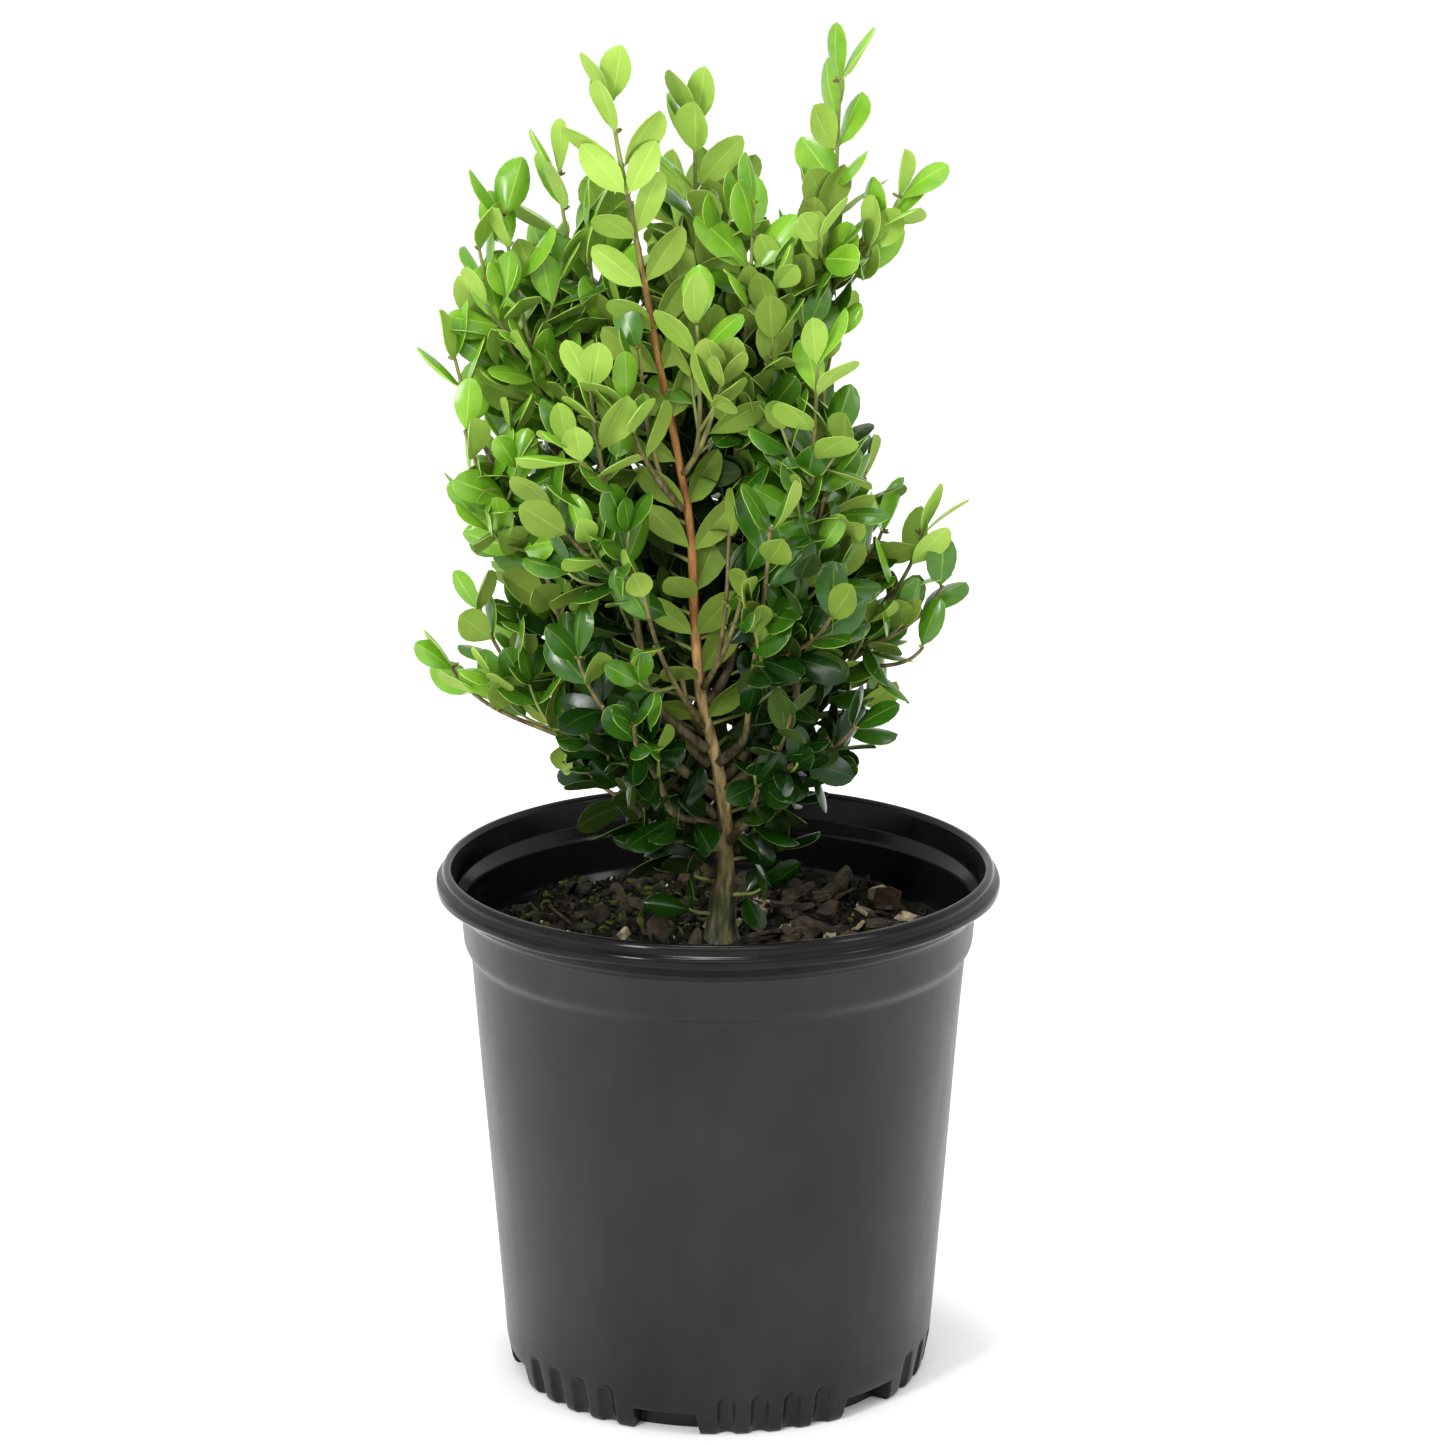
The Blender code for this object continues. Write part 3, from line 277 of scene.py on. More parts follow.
# What materials share: grains, patches and the sockets of a colour mix.
BARK_GRAIN = {"Scale": 420.0, "Stretch": (1.0, 1.0, 0.25), "Smooth": 0.6, "Rough": 0.85}
STREAKS = {"Scale": 330.0, "Stretch": (1.0, 1.0, 0.2), "Low": 0.40, "High": 0.62}
TRUNK_STREAKS = STREAKS | {"Stretch": (1.0, 1.0, 0.16)}
LEAF_GLOSS = {"Scale": 240.0, "Smooth": 0.17, "Rough": 0.30}
LEAF_MATT = {"Scale": 240.0, "Smooth": 0.50, "Rough": 0.65}
LEAF_PATCHES = {"Scale": 45.0, "Low": 0.35, "High": 0.65}
SOCKET_KINDS = {1: "NodeSocketFloat", 3: "NodeSocketVector", 4: "NodeSocketColor"}
MIX_INPUTS = {"Low": 0.35, "High": 0.65, "First": (0.0, 0.0, 0.0, 1.0), "Second": (1.0, 1.0, 1.0, 1.0)}
MIX_FACTOR, MIX_FIRST, MIX_SECOND, MIX_COLOUR = 0, 6, 7, 2

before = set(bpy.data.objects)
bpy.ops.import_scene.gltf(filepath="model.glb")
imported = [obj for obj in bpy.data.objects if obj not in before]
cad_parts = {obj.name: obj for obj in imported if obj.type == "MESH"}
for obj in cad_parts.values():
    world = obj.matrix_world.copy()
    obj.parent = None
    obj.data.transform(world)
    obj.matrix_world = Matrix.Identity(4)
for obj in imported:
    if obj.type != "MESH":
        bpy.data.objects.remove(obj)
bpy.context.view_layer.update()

Line = namedtuple("Line", "places radii")
Shoot = namedtuple("Shoot", "mass line order")


# Arrays and meshes.


def unit(vectors):
    """Each vector divided by its own length."""
    return vectors / np.maximum(np.linalg.norm(vectors, axis=-1, keepdims=True), 1e-9)


def level_way(vectors):
    """Each vector laid level and divided by its length."""
    return unit(vectors * (1, 1, 0))


def gaps(places, others, radii=0.0):
    """How far each place is from each of the others, less the radius round these."""
    return np.linalg.norm(places[:, None] - others[None], axis=-1) - radii


def add_mesh(name, points, faces, materials, material_index=None, sharp_angle=None):
    """A mesh object from points in millimetres and arrays of faces, each array with faces of one size."""
    mesh = bpy.data.meshes.new(name)
    corners = np.concatenate([group.ravel() for group in faces]).astype(np.int32)
    sizes = np.concatenate([np.full(len(group), group.shape[1]) for group in faces])
    starts = np.concatenate([[0], np.cumsum(sizes)[:-1]]).astype(np.int32)
    mesh.vertices.add(len(points))
    mesh.vertices.foreach_set("co", (np.asarray(points, float) * MM).astype(np.float32).ravel())
    mesh.loops.add(len(corners))
    mesh.loops.foreach_set("vertex_index", corners)
    mesh.polygons.add(len(starts))
    mesh.polygons.foreach_set("loop_start", starts)
    if material_index is not None:
        mesh.polygons.foreach_set("material_index", np.asarray(material_index, np.int32))
    mesh.update(calc_edges=True)
    mesh.shade_smooth()
    if sharp_angle is not None:
        mesh.set_sharp_from_angle(angle=math.radians(sharp_angle))
    for material in materials:
        mesh.materials.append(material)
    item = bpy.data.objects.new(name, mesh)
    bpy.context.scene.collection.objects.link(item)
    return item


def finished(piece, slot, *nodes):
    """The piece rides on the one body and stands for its CAD nodes, which are hidden; the slot is not used.
    """
    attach(piece, "root")
    if nodes:
        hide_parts(*nodes)


def ring_faces(rows, columns):
    """Four-sided faces of a grid whose columns close into a ring, facing out of one that turns left."""
    row, column = np.meshgrid(np.arange(rows - 1), np.arange(columns), indexing="ij")
    after = (column + 1) % columns
    low, high = row * columns, (row + 1) * columns
    return np.stack([low + column, low + after, high + after, high + column], -1).reshape(-1, 4)


def pole_faces(rows, columns):
    """Three-sided faces that close the first and the last ring onto two extra points, the poles."""
    column = np.arange(columns)
    after = (column + 1) % columns
    last = (rows - 1) * columns
    first_pole = np.full(columns, rows * columns)
    start = np.stack([first_pole, after, column], -1)
    end = np.stack([first_pole + 1, last + column, last + after], -1)
    return np.concatenate([start, end])


def closed_faces(rows, columns):
    """The faces of rings and of their poles."""
    return [ring_faces(rows, columns), pole_faces(rows, columns)]


def copies(groups, count, points_each):
    """Each group of a template's faces, repeated for each copy with the point numbers moved on."""
    moved = (np.arange(count) * points_each)[:, None, None]
    return [(faces[None] + moved).reshape(-1, faces.shape[1]) for faces in groups]


def ring_turns(count):
    """Angles that share out a whole turn."""
    return np.linspace(0, math.tau, count, endpoint=False)


def waves(places, size, seed, count=28):
    """A relief from about -1 to 1: the scaled sum of plane waves of about one size, each its own way."""
    chance = np.random.default_rng(seed)
    places = np.asarray(places, float)
    directions = unit(chance.normal(size=(count, places.shape[-1])))
    lengths = size * chance.uniform(0.6, 1.7, count)
    phases = chance.uniform(0, math.tau, count)
    angles = places @ (directions / lengths[:, None] * math.tau).T + phases
    return np.cos(angles).sum(-1) * (1.6 / math.sqrt(count)) * 0.5


# Materials.


def node_group(name, inputs, outputs):
    """A shader group: inputs with a default value, vector or colour, and outputs with their size."""
    group = bpy.data.node_groups.new(name, "ShaderNodeTree")
    new_socket = group.interface.new_socket
    for label, value in inputs.items():
        kind = SOCKET_KINDS[np.size(value)]
        new_socket(name=label, in_out="INPUT", socket_type=kind).default_value = value
    for label, size in outputs.items():
        new_socket(name=label, in_out="OUTPUT", socket_type=SOCKET_KINDS[size])
    return group, group.nodes.new("NodeGroupInput").outputs, group.nodes.new("NodeGroupOutput").inputs


def link_all(tree, *pairs):
    """Joins the output and the input of each pair."""
    for output, entry in pairs:
        tree.links.new(output, entry)


def noise_field(group, source):
    """Noise on Object coordinates, stretched and scaled by the group's own inputs."""
    place = group.nodes.new("ShaderNodeTexCoord")
    stretch = group.nodes.new("ShaderNodeVectorMath")
    stretch.operation = "MULTIPLY"
    noise = group.nodes.new("ShaderNodeTexNoise")
    noise.inputs["Detail"].default_value = 5.0
    noise.inputs["Roughness"].default_value = 0.6
    link_all(
        group,
        (place.outputs["Object"], stretch.inputs[0]),
        (source["Stretch"], stretch.inputs[1]),
        (stretch.outputs["Vector"], noise.inputs["Vector"]),
        (source["Scale"], noise.inputs["Scale"]),
    )
    return noise.outputs["Fac"]


def mix_between(group, source, result, value):
    """The value, steepened between Low and High, mixes from the First to the Second colour."""
    steep = group.nodes.new("ShaderNodeMapRange")
    mix = group.nodes.new("ShaderNodeMix")
    mix.data_type = "RGBA"
    link_all(
        group,
        (value, steep.inputs["Value"]),
        (source["Low"], steep.inputs["From Min"]),
        (source["High"], steep.inputs["From Max"]),
        (steep.outputs["Result"], mix.inputs[MIX_FACTOR]),
        (source["First"], mix.inputs[MIX_FIRST]),
        (source["Second"], mix.inputs[MIX_SECOND]),
        (mix.outputs[MIX_COLOUR], result["Colour"]),
    )


def make_mottle():
    """Mottle: a noise field mixes two colours."""
    inputs = {"Scale": 50.0, "Stretch": (1.0, 1.0, 1.0)} | MIX_INPUTS
    group, source, result = node_group("mottle", inputs, {"Colour": 4})
    mix_between(group, source, result, noise_field(group, source))
    return group


def make_height_fade():
    """Height fade: the height in metres, on Object coordinates, mixes two colours."""
    group, source, result = node_group("height_fade", MIX_INPUTS, {"Colour": 4})
    place = group.nodes.new("ShaderNodeTexCoord")
    split = group.nodes.new("ShaderNodeSeparateXYZ")
    group.links.new(place.outputs["Object"], split.inputs["Vector"])
    mix_between(group, source, result, split.outputs["Z"])
    return group


def make_grain():
    """Grain: a noise field as a height for bump, and as a roughness between two values."""
    inputs = {"Scale": 400.0, "Stretch": (1.0, 1.0, 1.0), "Smooth": 0.3, "Rough": 0.5}
    group, source, result = node_group("grain", inputs, {"Height": 1, "Roughness": 1})
    noise = noise_field(group, source)
    spread = group.nodes.new("ShaderNodeMapRange")
    spread.inputs["From Min"].default_value = 0.3
    spread.inputs["From Max"].default_value = 0.7
    link_all(
        group,
        (noise, spread.inputs["Value"]),
        (source["Smooth"], spread.inputs["To Min"]),
        (source["Rough"], spread.inputs["To Max"]),
        (noise, result["Height"]),
        (spread.outputs["Result"], result["Roughness"]),
    )
    return group


MOTTLE = make_mottle()
GRAIN = make_grain()
HEIGHT_FADE = make_height_fade()


def placed_group(material, group, **values):
    """One of the shared groups in a material, with its own values."""
    node = material.node_tree.nodes.new("ShaderNodeGroup")
    node.node_tree = group
    for label, value in values.items():
        node.inputs[label].default_value = value
    return node


def mottled(material, first, second, mottle):
    """The output of a mottle between two colours."""
    values = {"First": (*first, 1.0), "Second": (*second, 1.0)} | mottle
    return placed_group(material, MOTTLE, **values).outputs["Colour"]


def new_finish(name, first, second, mottle, grain, bump, shine=0.5):
    """A material whose colour is mottled between two, with grain in its roughness and its bump."""
    material = bpy.data.materials.new(name)
    material.use_nodes = True
    tree = material.node_tree
    shader = tree.nodes["Principled BSDF"].inputs
    shader["Specular IOR Level"].default_value = shine
    surface = placed_group(material, GRAIN, **grain).outputs
    relief = tree.nodes.new("ShaderNodeBump")
    relief.inputs["Strength"].default_value = bump[0]
    relief.inputs["Distance"].default_value = bump[1] * MM
    link_all(
        tree,
        (mottled(material, first, second, mottle), shader["Base Color"]),
        (surface["Roughness"], shader["Roughness"]),
        (surface["Height"], relief.inputs["Height"]),
        (relief.outputs["Normal"], shader["Normal"]),
    )
    material.diffuse_color = (*first, 1.0)
    return material


def fade_upwards(material, mottle, *steps):
    """The material's colour gives way to each step's mottle in turn, between two heights in millimetres."""
    tree = material.node_tree
    base = tree.nodes["Principled BSDF"].inputs["Base Color"]
    colour = base.links[0].from_socket
    for first, second, low, high in steps:
        fade = placed_group(material, HEIGHT_FADE, Low=low * MM, High=high * MM)
        above = mottled(material, first, second, mottle)
        link_all(tree, (colour, fade.inputs["First"]), (above, fade.inputs["Second"]))
        colour = fade.outputs["Colour"]
    tree.links.new(colour, base)
    return material


# The stage: camera, floor and light.


def set_camera():
    data = bpy.data.cameras.new("photo_view")
    data.lens = CAMERA_LENS
    data.sensor_width = SENSOR_WIDTH
    data.clip_end = VIEW_END
    camera = bpy.data.objects.new("photo_view", data)
    camera.location = Vector(CAMERA_PLACE) * MM
    camera.rotation_euler = (math.pi / 2 - CAMERA_PITCH, 0.0, 0.0)
    bpy.context.scene.collection.objects.link(camera)
    bpy.context.scene.camera = camera


def soft_light(name, place, size, watts):
    data = bpy.data.lights.new(name, "AREA")
    data.shape = "RECTANGLE"
    data.size, data.size_y = size
    data.energy = watts
    lamp = bpy.data.objects.new(name, data)
    lamp.location = place
    lamp.rotation_euler = (Vector(LAMPS_AIM) - Vector(place)).to_track_quat("-Z", "Y").to_euler()
    bpy.context.scene.collection.objects.link(lamp)


def set_stage():
    """A wide pale floor, an even pale surround and four soft lamps."""
    corners = np.array([(-1, -1, 0), (1, -1, 0), (1, 1, 0), (-1, 1, 0)]) * FLOOR_HALF
    white = bpy.data.materials.new("pale_floor")
    white.use_nodes = True
    shader = white.node_tree.nodes["Principled BSDF"].inputs
    shader["Base Color"].default_value = (0.94, 0.94, 0.94, 1.0)
    shader["Roughness"].default_value = 0.9
    shader["Specular IOR Level"].default_value = 0.1
    add_mesh("pale_floor", corners, [np.array([(0, 1, 2, 3)])], [white])
    world = bpy.data.worlds.new("pale_surround")
    world.use_nodes = True
    surround = world.node_tree.nodes["Background"].inputs
    surround["Color"].default_value = (1.0, 1.0, 1.0, 1.0)
    surround["Strength"].default_value = SURROUND_STRENGTH
    bpy.context.scene.world = world
    for lamp in LAMPS:
        soft_light(*lamp)
    view = bpy.context.scene.view_settings
    view.view_transform = "Standard"
    view.look = "None"


# The pot.


def body_radius(height):
    """The pot's outer radius on its straight tapering body."""
    return BODY_FOOT_RADIUS + (height - BODY_FOOT) * BODY_TAPER


def pot_profile():
    """From the middle of the floor up the inside, over the rim, down the outside and under the foot."""
    heel = body_radius(HEEL_TOP - HEEL_EASE) - HEEL_THICKNESS
    inside = (
        (0.0, FLOOR_TOP),
        (heel - 4.0, FLOOR_TOP),
        (heel, FLOOR_TOP + HEEL_EASE),
        (heel, HEEL_TOP - HEEL_EASE),
        (body_radius(HEEL_TOP + 2.0) - WALL, HEEL_TOP + 2.0),
        (body_radius(BODY_TOP - 1.0) - WALL, BODY_TOP - 1.0),
    )
    outside = (
        (BODY_TOP_RADIUS, BODY_TOP),
        (body_radius(HEEL_TOP), HEEL_TOP),
        (BODY_FOOT_RADIUS, BODY_FOOT),
        (73.6, 2.1),
        (72.3, 0.0),
        (NOTCH_BACK_RADIUS + 0.3, 0.0),
        (NOTCH_BACK_RADIUS, 0.0),
        (62.5, 0.0),
        (61.0, FLOOR_UNDERSIDE),
        (0.0, FLOOR_UNDERSIDE),
    )
    return np.array((*inside, *RIM_OUTLINE, *outside))


def eased(profile):
    """Each corner becomes a curve of three points: start (1 - t)^2 + 2 corner t (1 - t) + end t^2."""
    corner = profile[1:-1]
    reach = np.where(corner[:, 1:2] > CRISP_FROM, CRISP_EDGE, SOFT_EDGE)
    ends = []
    for neighbour in (profile[:-2], profile[2:]):
        side = neighbour - corner
        length = np.linalg.norm(side, axis=1, keepdims=True)
        ends.append((corner + side / length * np.minimum(reach, 0.45 * length))[:, None])
    t = np.linspace(0, 1, 3)[None, :, None]
    curve = ends[0] * (1 - t) ** 2 + 2 * corner[:, None] * t * (1 - t) + ends[1] * t**2
    return np.concatenate([profile[:1], curve.reshape(-1, 2), profile[-1:]])


def finer(profile):
    """Adds points to the profile's straight runs, closer together down the outside of the foot."""
    out = [profile[:1]]
    for start, end in zip(profile, profile[1:]):
        near = start[1] > end[1] and end[1] < FINE_BELOW and end[0] > NOTCH_BACK_RADIUS
        count = max(int(np.linalg.norm(end - start) / (FINE_STEP if near else COARSE_STEP)), 1)
        out.append(start + (end - start) * (np.arange(1, count + 1) / count)[:, None])
    return np.concatenate(out)


def pot_angles():
    """The pot's columns, in degrees from the front: close together at the edges of flutes and of notches."""
    half_flute = np.array((0.5, 1.0, 1.5, 1.9, 2.15, 2.4, 2.9))
    flute = np.concatenate([-half_flute[::-1], [0.0], half_flute, [3.7, 4.45, 5.2]])
    flutes = [flute + (k - (FLUTES_PER_PAD - 1) / 2) * FLUTE_PITCH for k in range(FLUTES_PER_PAD)]
    half = NOTCH_HALF_ANGLE + NOTCH_SLOPE_ANGLE
    slope = -half + np.array((-0.3, 0.0, 0.3, 0.6))
    edge = np.concatenate([slope, [-NOTCH_HALF_ANGLE, -NOTCH_HALF_ANGLE + 0.4]])
    notch = np.concatenate([edge, np.linspace(-6.5, 6.5, 10), -edge[::-1]]) + PAD_TURN / 2
    pad = np.concatenate([*flutes, [17.6, 19.2], notch[notch < PAD_TURN / 2 + half + 0.35], [40.8, 42.4]])
    pad = np.sort(pad)
    pad = pad[(pad >= -16.6) & (pad < PAD_TURN - 16.6)]
    turns = FIRST_PAD_ANGLE + np.arange(FOOT_PADS)[:, None] * PAD_TURN
    return (pad[None] + turns).ravel()


def flute_depth(angle, radius, height):
    """How far the wall is pressed in: (1 - across^2 - above^2)^0.7 of the depth, a scoop with a round top."""
    in_pad = (angle - FIRST_PAD_ANGLE + PAD_TURN / 2) % PAD_TURN - PAD_TURN / 2
    nearest = np.clip(np.round(in_pad / FLUTE_PITCH - 0.5), -2, 1) + 0.5
    across = np.radians(in_pad - nearest * FLUTE_PITCH) * radius / FLUTE_RADIUS
    above = np.maximum(height - (FLUTE_TOP - FLUTE_RADIUS), 0.0) / FLUTE_RADIUS
    return FLUTE_DEPTH * np.clip(1.0 - across**2 - above**2, 0.0, 1.0) ** 0.7


def notch_height(angle, radius):
    """The height that the foot is cut to: 0 under a pad, steeply up at a notch's ends, rising outwards."""
    between = np.abs((angle - FIRST_PAD_ANGLE) % PAD_TURN - PAD_TURN / 2)
    share = np.clip((NOTCH_HALF_ANGLE + NOTCH_SLOPE_ANGLE - between) / NOTCH_SLOPE_ANGLE, 0.0, 1.0)
    return share * (NOTCH_BACK_HEIGHT + (radius - NOTCH_BACK_RADIUS) * NOTCH_TOP_RISE)


def pot_finishes():
    """Satin black plastic for the body, and for the rim and the inside a glossier copy whose darker colour
    and weaker shine are painted shade.
    """
    patches = {"Scale": 26.0, "Stretch": (1.0, 1.0, 0.6)}
    satin = {"Scale": 90.0, "Stretch": (1.0, 1.0, 0.35), "Smooth": 0.30, "Rough": 0.38}
    gloss = {"Scale": 90.0, "Smooth": 0.13, "Rough": 0.20}
    body, rim = "black_pot_plastic", "glossy_rim_plastic_in_painted_shade"
    return [
        new_finish(body, (0.004, 0.004, 0.0041), (0.011, 0.011, 0.0113), patches, satin, (0.10, 0.2), 0.27),
        new_finish(rim, (0.002, 0.002, 0.0021), (0.006, 0.006, 0.0062), patches, gloss, (0.06, 0.2), 0.15),
    ]


def make_pot():
    """The profile turned about the axis, pressed in at the flutes, raised at the notches, then drilled."""
    profile = finer(eased(pot_profile()))
    angle = pot_angles()[None]
    turn = np.radians(angle)
    radius, height = profile[1:-1, 0:1], profile[1:-1, 1:2]
    rows, columns = len(radius), angle.shape[1]
    outside = (np.arange(rows)[:, None] > len(profile) * INSIDE_SHARE) & (radius > 68.0)
    pressed = radius - flute_depth(angle, radius, height) * outside
    soft = waves(np.stack(np.broadcast_arrays(angle, height * 0.5), -1), 60.0, 3) * BODY_WAVE
    pressed = pressed + soft * (outside & (height > 20.0) & (height < 150.0))
    foot = radius > NOTCH_BACK_RADIUS + 0.1
    raised = np.where(foot, np.maximum(height, notch_height(angle, radius)), height + 0.0 * angle)
    lip = np.exp(-(((height - LIP_HEIGHT) / LIP_SPREAD) ** 2)) * outside
    raised = raised + lip * waves(np.stack([np.cos(turn), np.sin(turn)], -1), 0.45, 4) * LIP_WAVE
    points = np.stack([pressed * np.sin(turn), -pressed * np.cos(turn), raised], -1).reshape(-1, 3)
    points = np.concatenate([points, [(0.0, 0.0, FLOOR_TOP), (0.0, 0.0, FLOOR_UNDERSIDE)]])
    faces = [group[:, ::-1] for group in closed_faces(rows, columns)]
    # The rim and the inside get the glossier plastic, darker as painted shade.
    on_rim = (np.arange(rows - 1) < height.argmax()) | (height[:-1, 0] > RIM_GLOSS_AND_SHADE_FROM)
    index = np.concatenate([np.repeat(on_rim, columns), np.repeat((True, False), columns)])
    pot = add_mesh("nursery_pot", points, faces, pot_finishes(), index, sharp_angle=38)
    drill_floor(pot)
    finished(pot, "black_pot_plastic", "pot")


def drill_floor(pot):
    """Round holes through the floor, cut with one joined set of cylinders."""
    turn = ring_turns(DRAIN_SIDES)
    ring = np.stack([np.cos(turn), np.sin(turn), 0 * turn], -1) * DRAIN_HOLE_RADIUS
    low, high = (0, 0, FLOOR_UNDERSIDE - 2.0), (0, 0, FLOOR_TOP + 2.0)
    one = np.concatenate([ring + low, ring + high, [low, high]])
    around = np.radians(FIRST_PAD_ANGLE + np.arange(DRAIN_HOLES) * 360.0 / DRAIN_HOLES)
    centres = np.stack([np.sin(around), -np.cos(around), 0 * around], -1) * DRAIN_CIRCLE_RADIUS
    points = (one[None] + centres[:, None]).reshape(-1, 3)
    drills = add_mesh("drain_drills", points, copies(closed_faces(2, DRAIN_SIDES), DRAIN_HOLES, len(one)), [])
    cut = pot.modifiers.new("drain_holes", "BOOLEAN")
    cut.operation = "DIFFERENCE"
    cut.object = drills
    cut.solver = "EXACT"
    graph = bpy.context.evaluated_depsgraph_get()
    drilled = bpy.data.meshes.new_from_object(pot.evaluated_get(graph))
    pot.modifiers.clear()
    pot.data = drilled
    bpy.data.objects.remove(drills)


# The soil.


def soil_top(x, y):
    """The soil's height: its level and its lumps, lower round the trunk, less a small fall outwards."""
    radius = np.hypot(x, y)
    flat = np.stack([x, y], -1)
    lumps = sum(waves(flat, size, SOIL_SEED + k) * height for k, (size, height) in enumerate(SOIL_LUMPS))
    near_trunk = np.exp(-((radius / 13.0) ** 2))
    return SOIL_LEVEL - 0.4 + lumps * (1.0 - 0.8 * near_trunk) - 1.5 * radius / SOIL_RADIUS


def make_soil():
    """A plug turned inside the pot: rings of its lumpy top, then down its side and in along its base."""
    turn = ring_turns(SOIL_COLUMNS)[None]
    radius = np.concatenate([np.linspace(1.2, 60.0, 48), np.linspace(61.0, SOIL_RADIUS, 26)])[:, None]
    x, y = radius * np.cos(turn), radius * np.sin(turn)
    top = np.stack([x, y, soil_top(x, y)], -1)
    side = np.array(SOIL_SIDE)[:, None]
    wall = np.stack([side[..., 0] * np.cos(turn), side[..., 0] * np.sin(turn), side[..., 1] + 0 * turn], -1)
    rings = np.concatenate([top, wall])
    poles = [(0.0, 0.0, float(soil_top(np.array(0.0), np.array(0.0)))), (0.0, 0.0, SOIL_BASE)]
    points = np.concatenate([rings.reshape(-1, 3), poles])
    faces = [group[:, ::-1] for group in closed_faces(len(rings), SOIL_COLUMNS)]
    patches = {"Scale": 170.0, "Low": 0.42, "High": 0.66}
    grain = {"Scale": 900.0, "Smooth": 0.7, "Rough": 1.0}
    dark, bright = (0.0015, 0.0016, 0.0006), (0.010, 0.010, 0.0035)
    earth = new_finish("dark_potting_mix", dark, bright, patches, grain, (0.9, 0.8), 0.12)
    finished(add_mesh("potting_mix", points, faces, [earth]), "potting_soil", "soil")


def scattered(count, chance, room):
    """Even random places on the soil, clear of the trunk and with room left inside the pot's wall."""
    radius = np.sqrt(chance.uniform(CLEAR_OF_TRUNK**2, (SOIL_RADIUS - room) ** 2, count))
    turn = chance.uniform(0, math.tau, count)
    return radius * np.cos(turn), radius * np.sin(turn)


def chip_points(centres, sizes, thickness, tilt, chance):
    """Flat chips: a ring of uneven corners as the lower and as the upper face, turned and tilted."""
    count = len(centres)
    half = thickness[:, None] / 2
    turn = ring_turns(CHIP_CORNERS)[None] + chance.uniform(0, math.tau, (count, 1))
    uneven = chance.uniform(0.62, 1.15, (count, CHIP_CORNERS))
    x = np.cos(turn) * uneven * sizes[:, 0:1]
    y = np.sin(turn) * uneven * sizes[:, 1:2]
    curl = (x / sizes[:, 0:1]) ** 2 * thickness[:, None] * chance.uniform(-0.8, 1.2, (count, 1))
    low = np.stack([x, y, curl - half], -1)
    high = np.stack([x * CHIP_TOP_SHARE, y * CHIP_TOP_SHARE, curl + half], -1)
    pole = UP * half[:, :, None]
    points = np.concatenate([low, high, -pole, pole], 1)
    spin = chance.uniform(0, math.tau, count)
    lean_way = chance.uniform(0, math.tau, count)
    normal = np.stack([np.sin(tilt) * np.cos(lean_way), np.sin(tilt) * np.sin(lean_way), np.cos(tilt)], -1)
    first = unit(np.cross(normal, np.stack([np.cos(spin), np.sin(spin), 0 * spin], -1)))
    axes = np.stack([first, np.cross(normal, first), normal], 1)
    turned = sum(points[..., i : i + 1] * axes[:, i, None] for i in range(3))
    return turned + centres[:, None]


def make_chips():
    """Bark chips, crumbs of soil and white grit on the soil, each kind one joined mesh."""
    chance = np.random.default_rng(SOIL_SEED + 10)
    grain = {"Scale": 700.0, "Smooth": 0.6, "Rough": 0.95}
    for name, count, side, (least, most), thick, lean, first, second in CHIPS:
        x, y = scattered(count, chance, most + 0.5)
        x = np.where(chance.random(count) < abs(side), math.copysign(1.0, side) * np.abs(x), x)
        long = chance.uniform(least, most, count)
        sizes = np.stack([long, long * chance.uniform(0.35, 0.8, count)], -1)
        thickness = thick * chance.uniform(0.6, 1.4, count)
        tilt = np.abs(chance.normal(0, lean, count)).clip(0, 1.2)
        height = soil_top(x, y) + 0.45 * long * np.sin(tilt) + 0.3
        points = chip_points(np.stack([x, y, height], -1), sizes, thickness, tilt, chance)
        faces = copies(closed_faces(2, CHIP_CORNERS), count, points.shape[1])
        finish = new_finish(name, first, second, {"Scale": 260.0}, grain, (0.6, 0.4), 0.2)
        finished(add_mesh(name, points.reshape(-1, 3), faces, [finish], sharp_angle=35), "potting_soil")


# Lines: the trunk, the boughs, the stems and the twigs.


def bezier_line(start, leave, arrive, end, radius, tip_radius, points):
    """A cubic curve that leaves and arrives in the directions given, with an even taper."""
    reach = np.linalg.norm(end - start)
    near_start = start + leave * reach * LIMB_BEND
    near_end = end - arrive * reach * LIMB_BEND
    t = np.linspace(0, 1, points)[:, None]
    s = 1 - t
    places = s**3 * start + 3 * s**2 * t * near_start + 3 * s * t**2 * near_end + t**3 * end
    return Line(places, np.linspace(radius, tip_radius, points))


def distances(line):
    """How far along the line each of its places is."""
    return np.concatenate([[0.0], np.cumsum(np.linalg.norm(np.diff(line.places, axis=0), axis=1))])


def read_at(where, knots, values):
    """Each column of the values read between its knots."""
    return np.stack([np.interp(where, knots, column) for column in values.T], -1)


def along_line(line, distance):
    """Places, directions and radii at distances along a line."""
    far = distances(line)
    slopes = unit(np.gradient(line.places, axis=0))
    direction = unit(read_at(distance, far, slopes))
    return read_at(distance, far, line.places), direction, np.interp(distance, far, line.radii)


def last_way(line):
    """The direction that a line ends in."""
    return unit(line.places[-1] - line.places[-2])


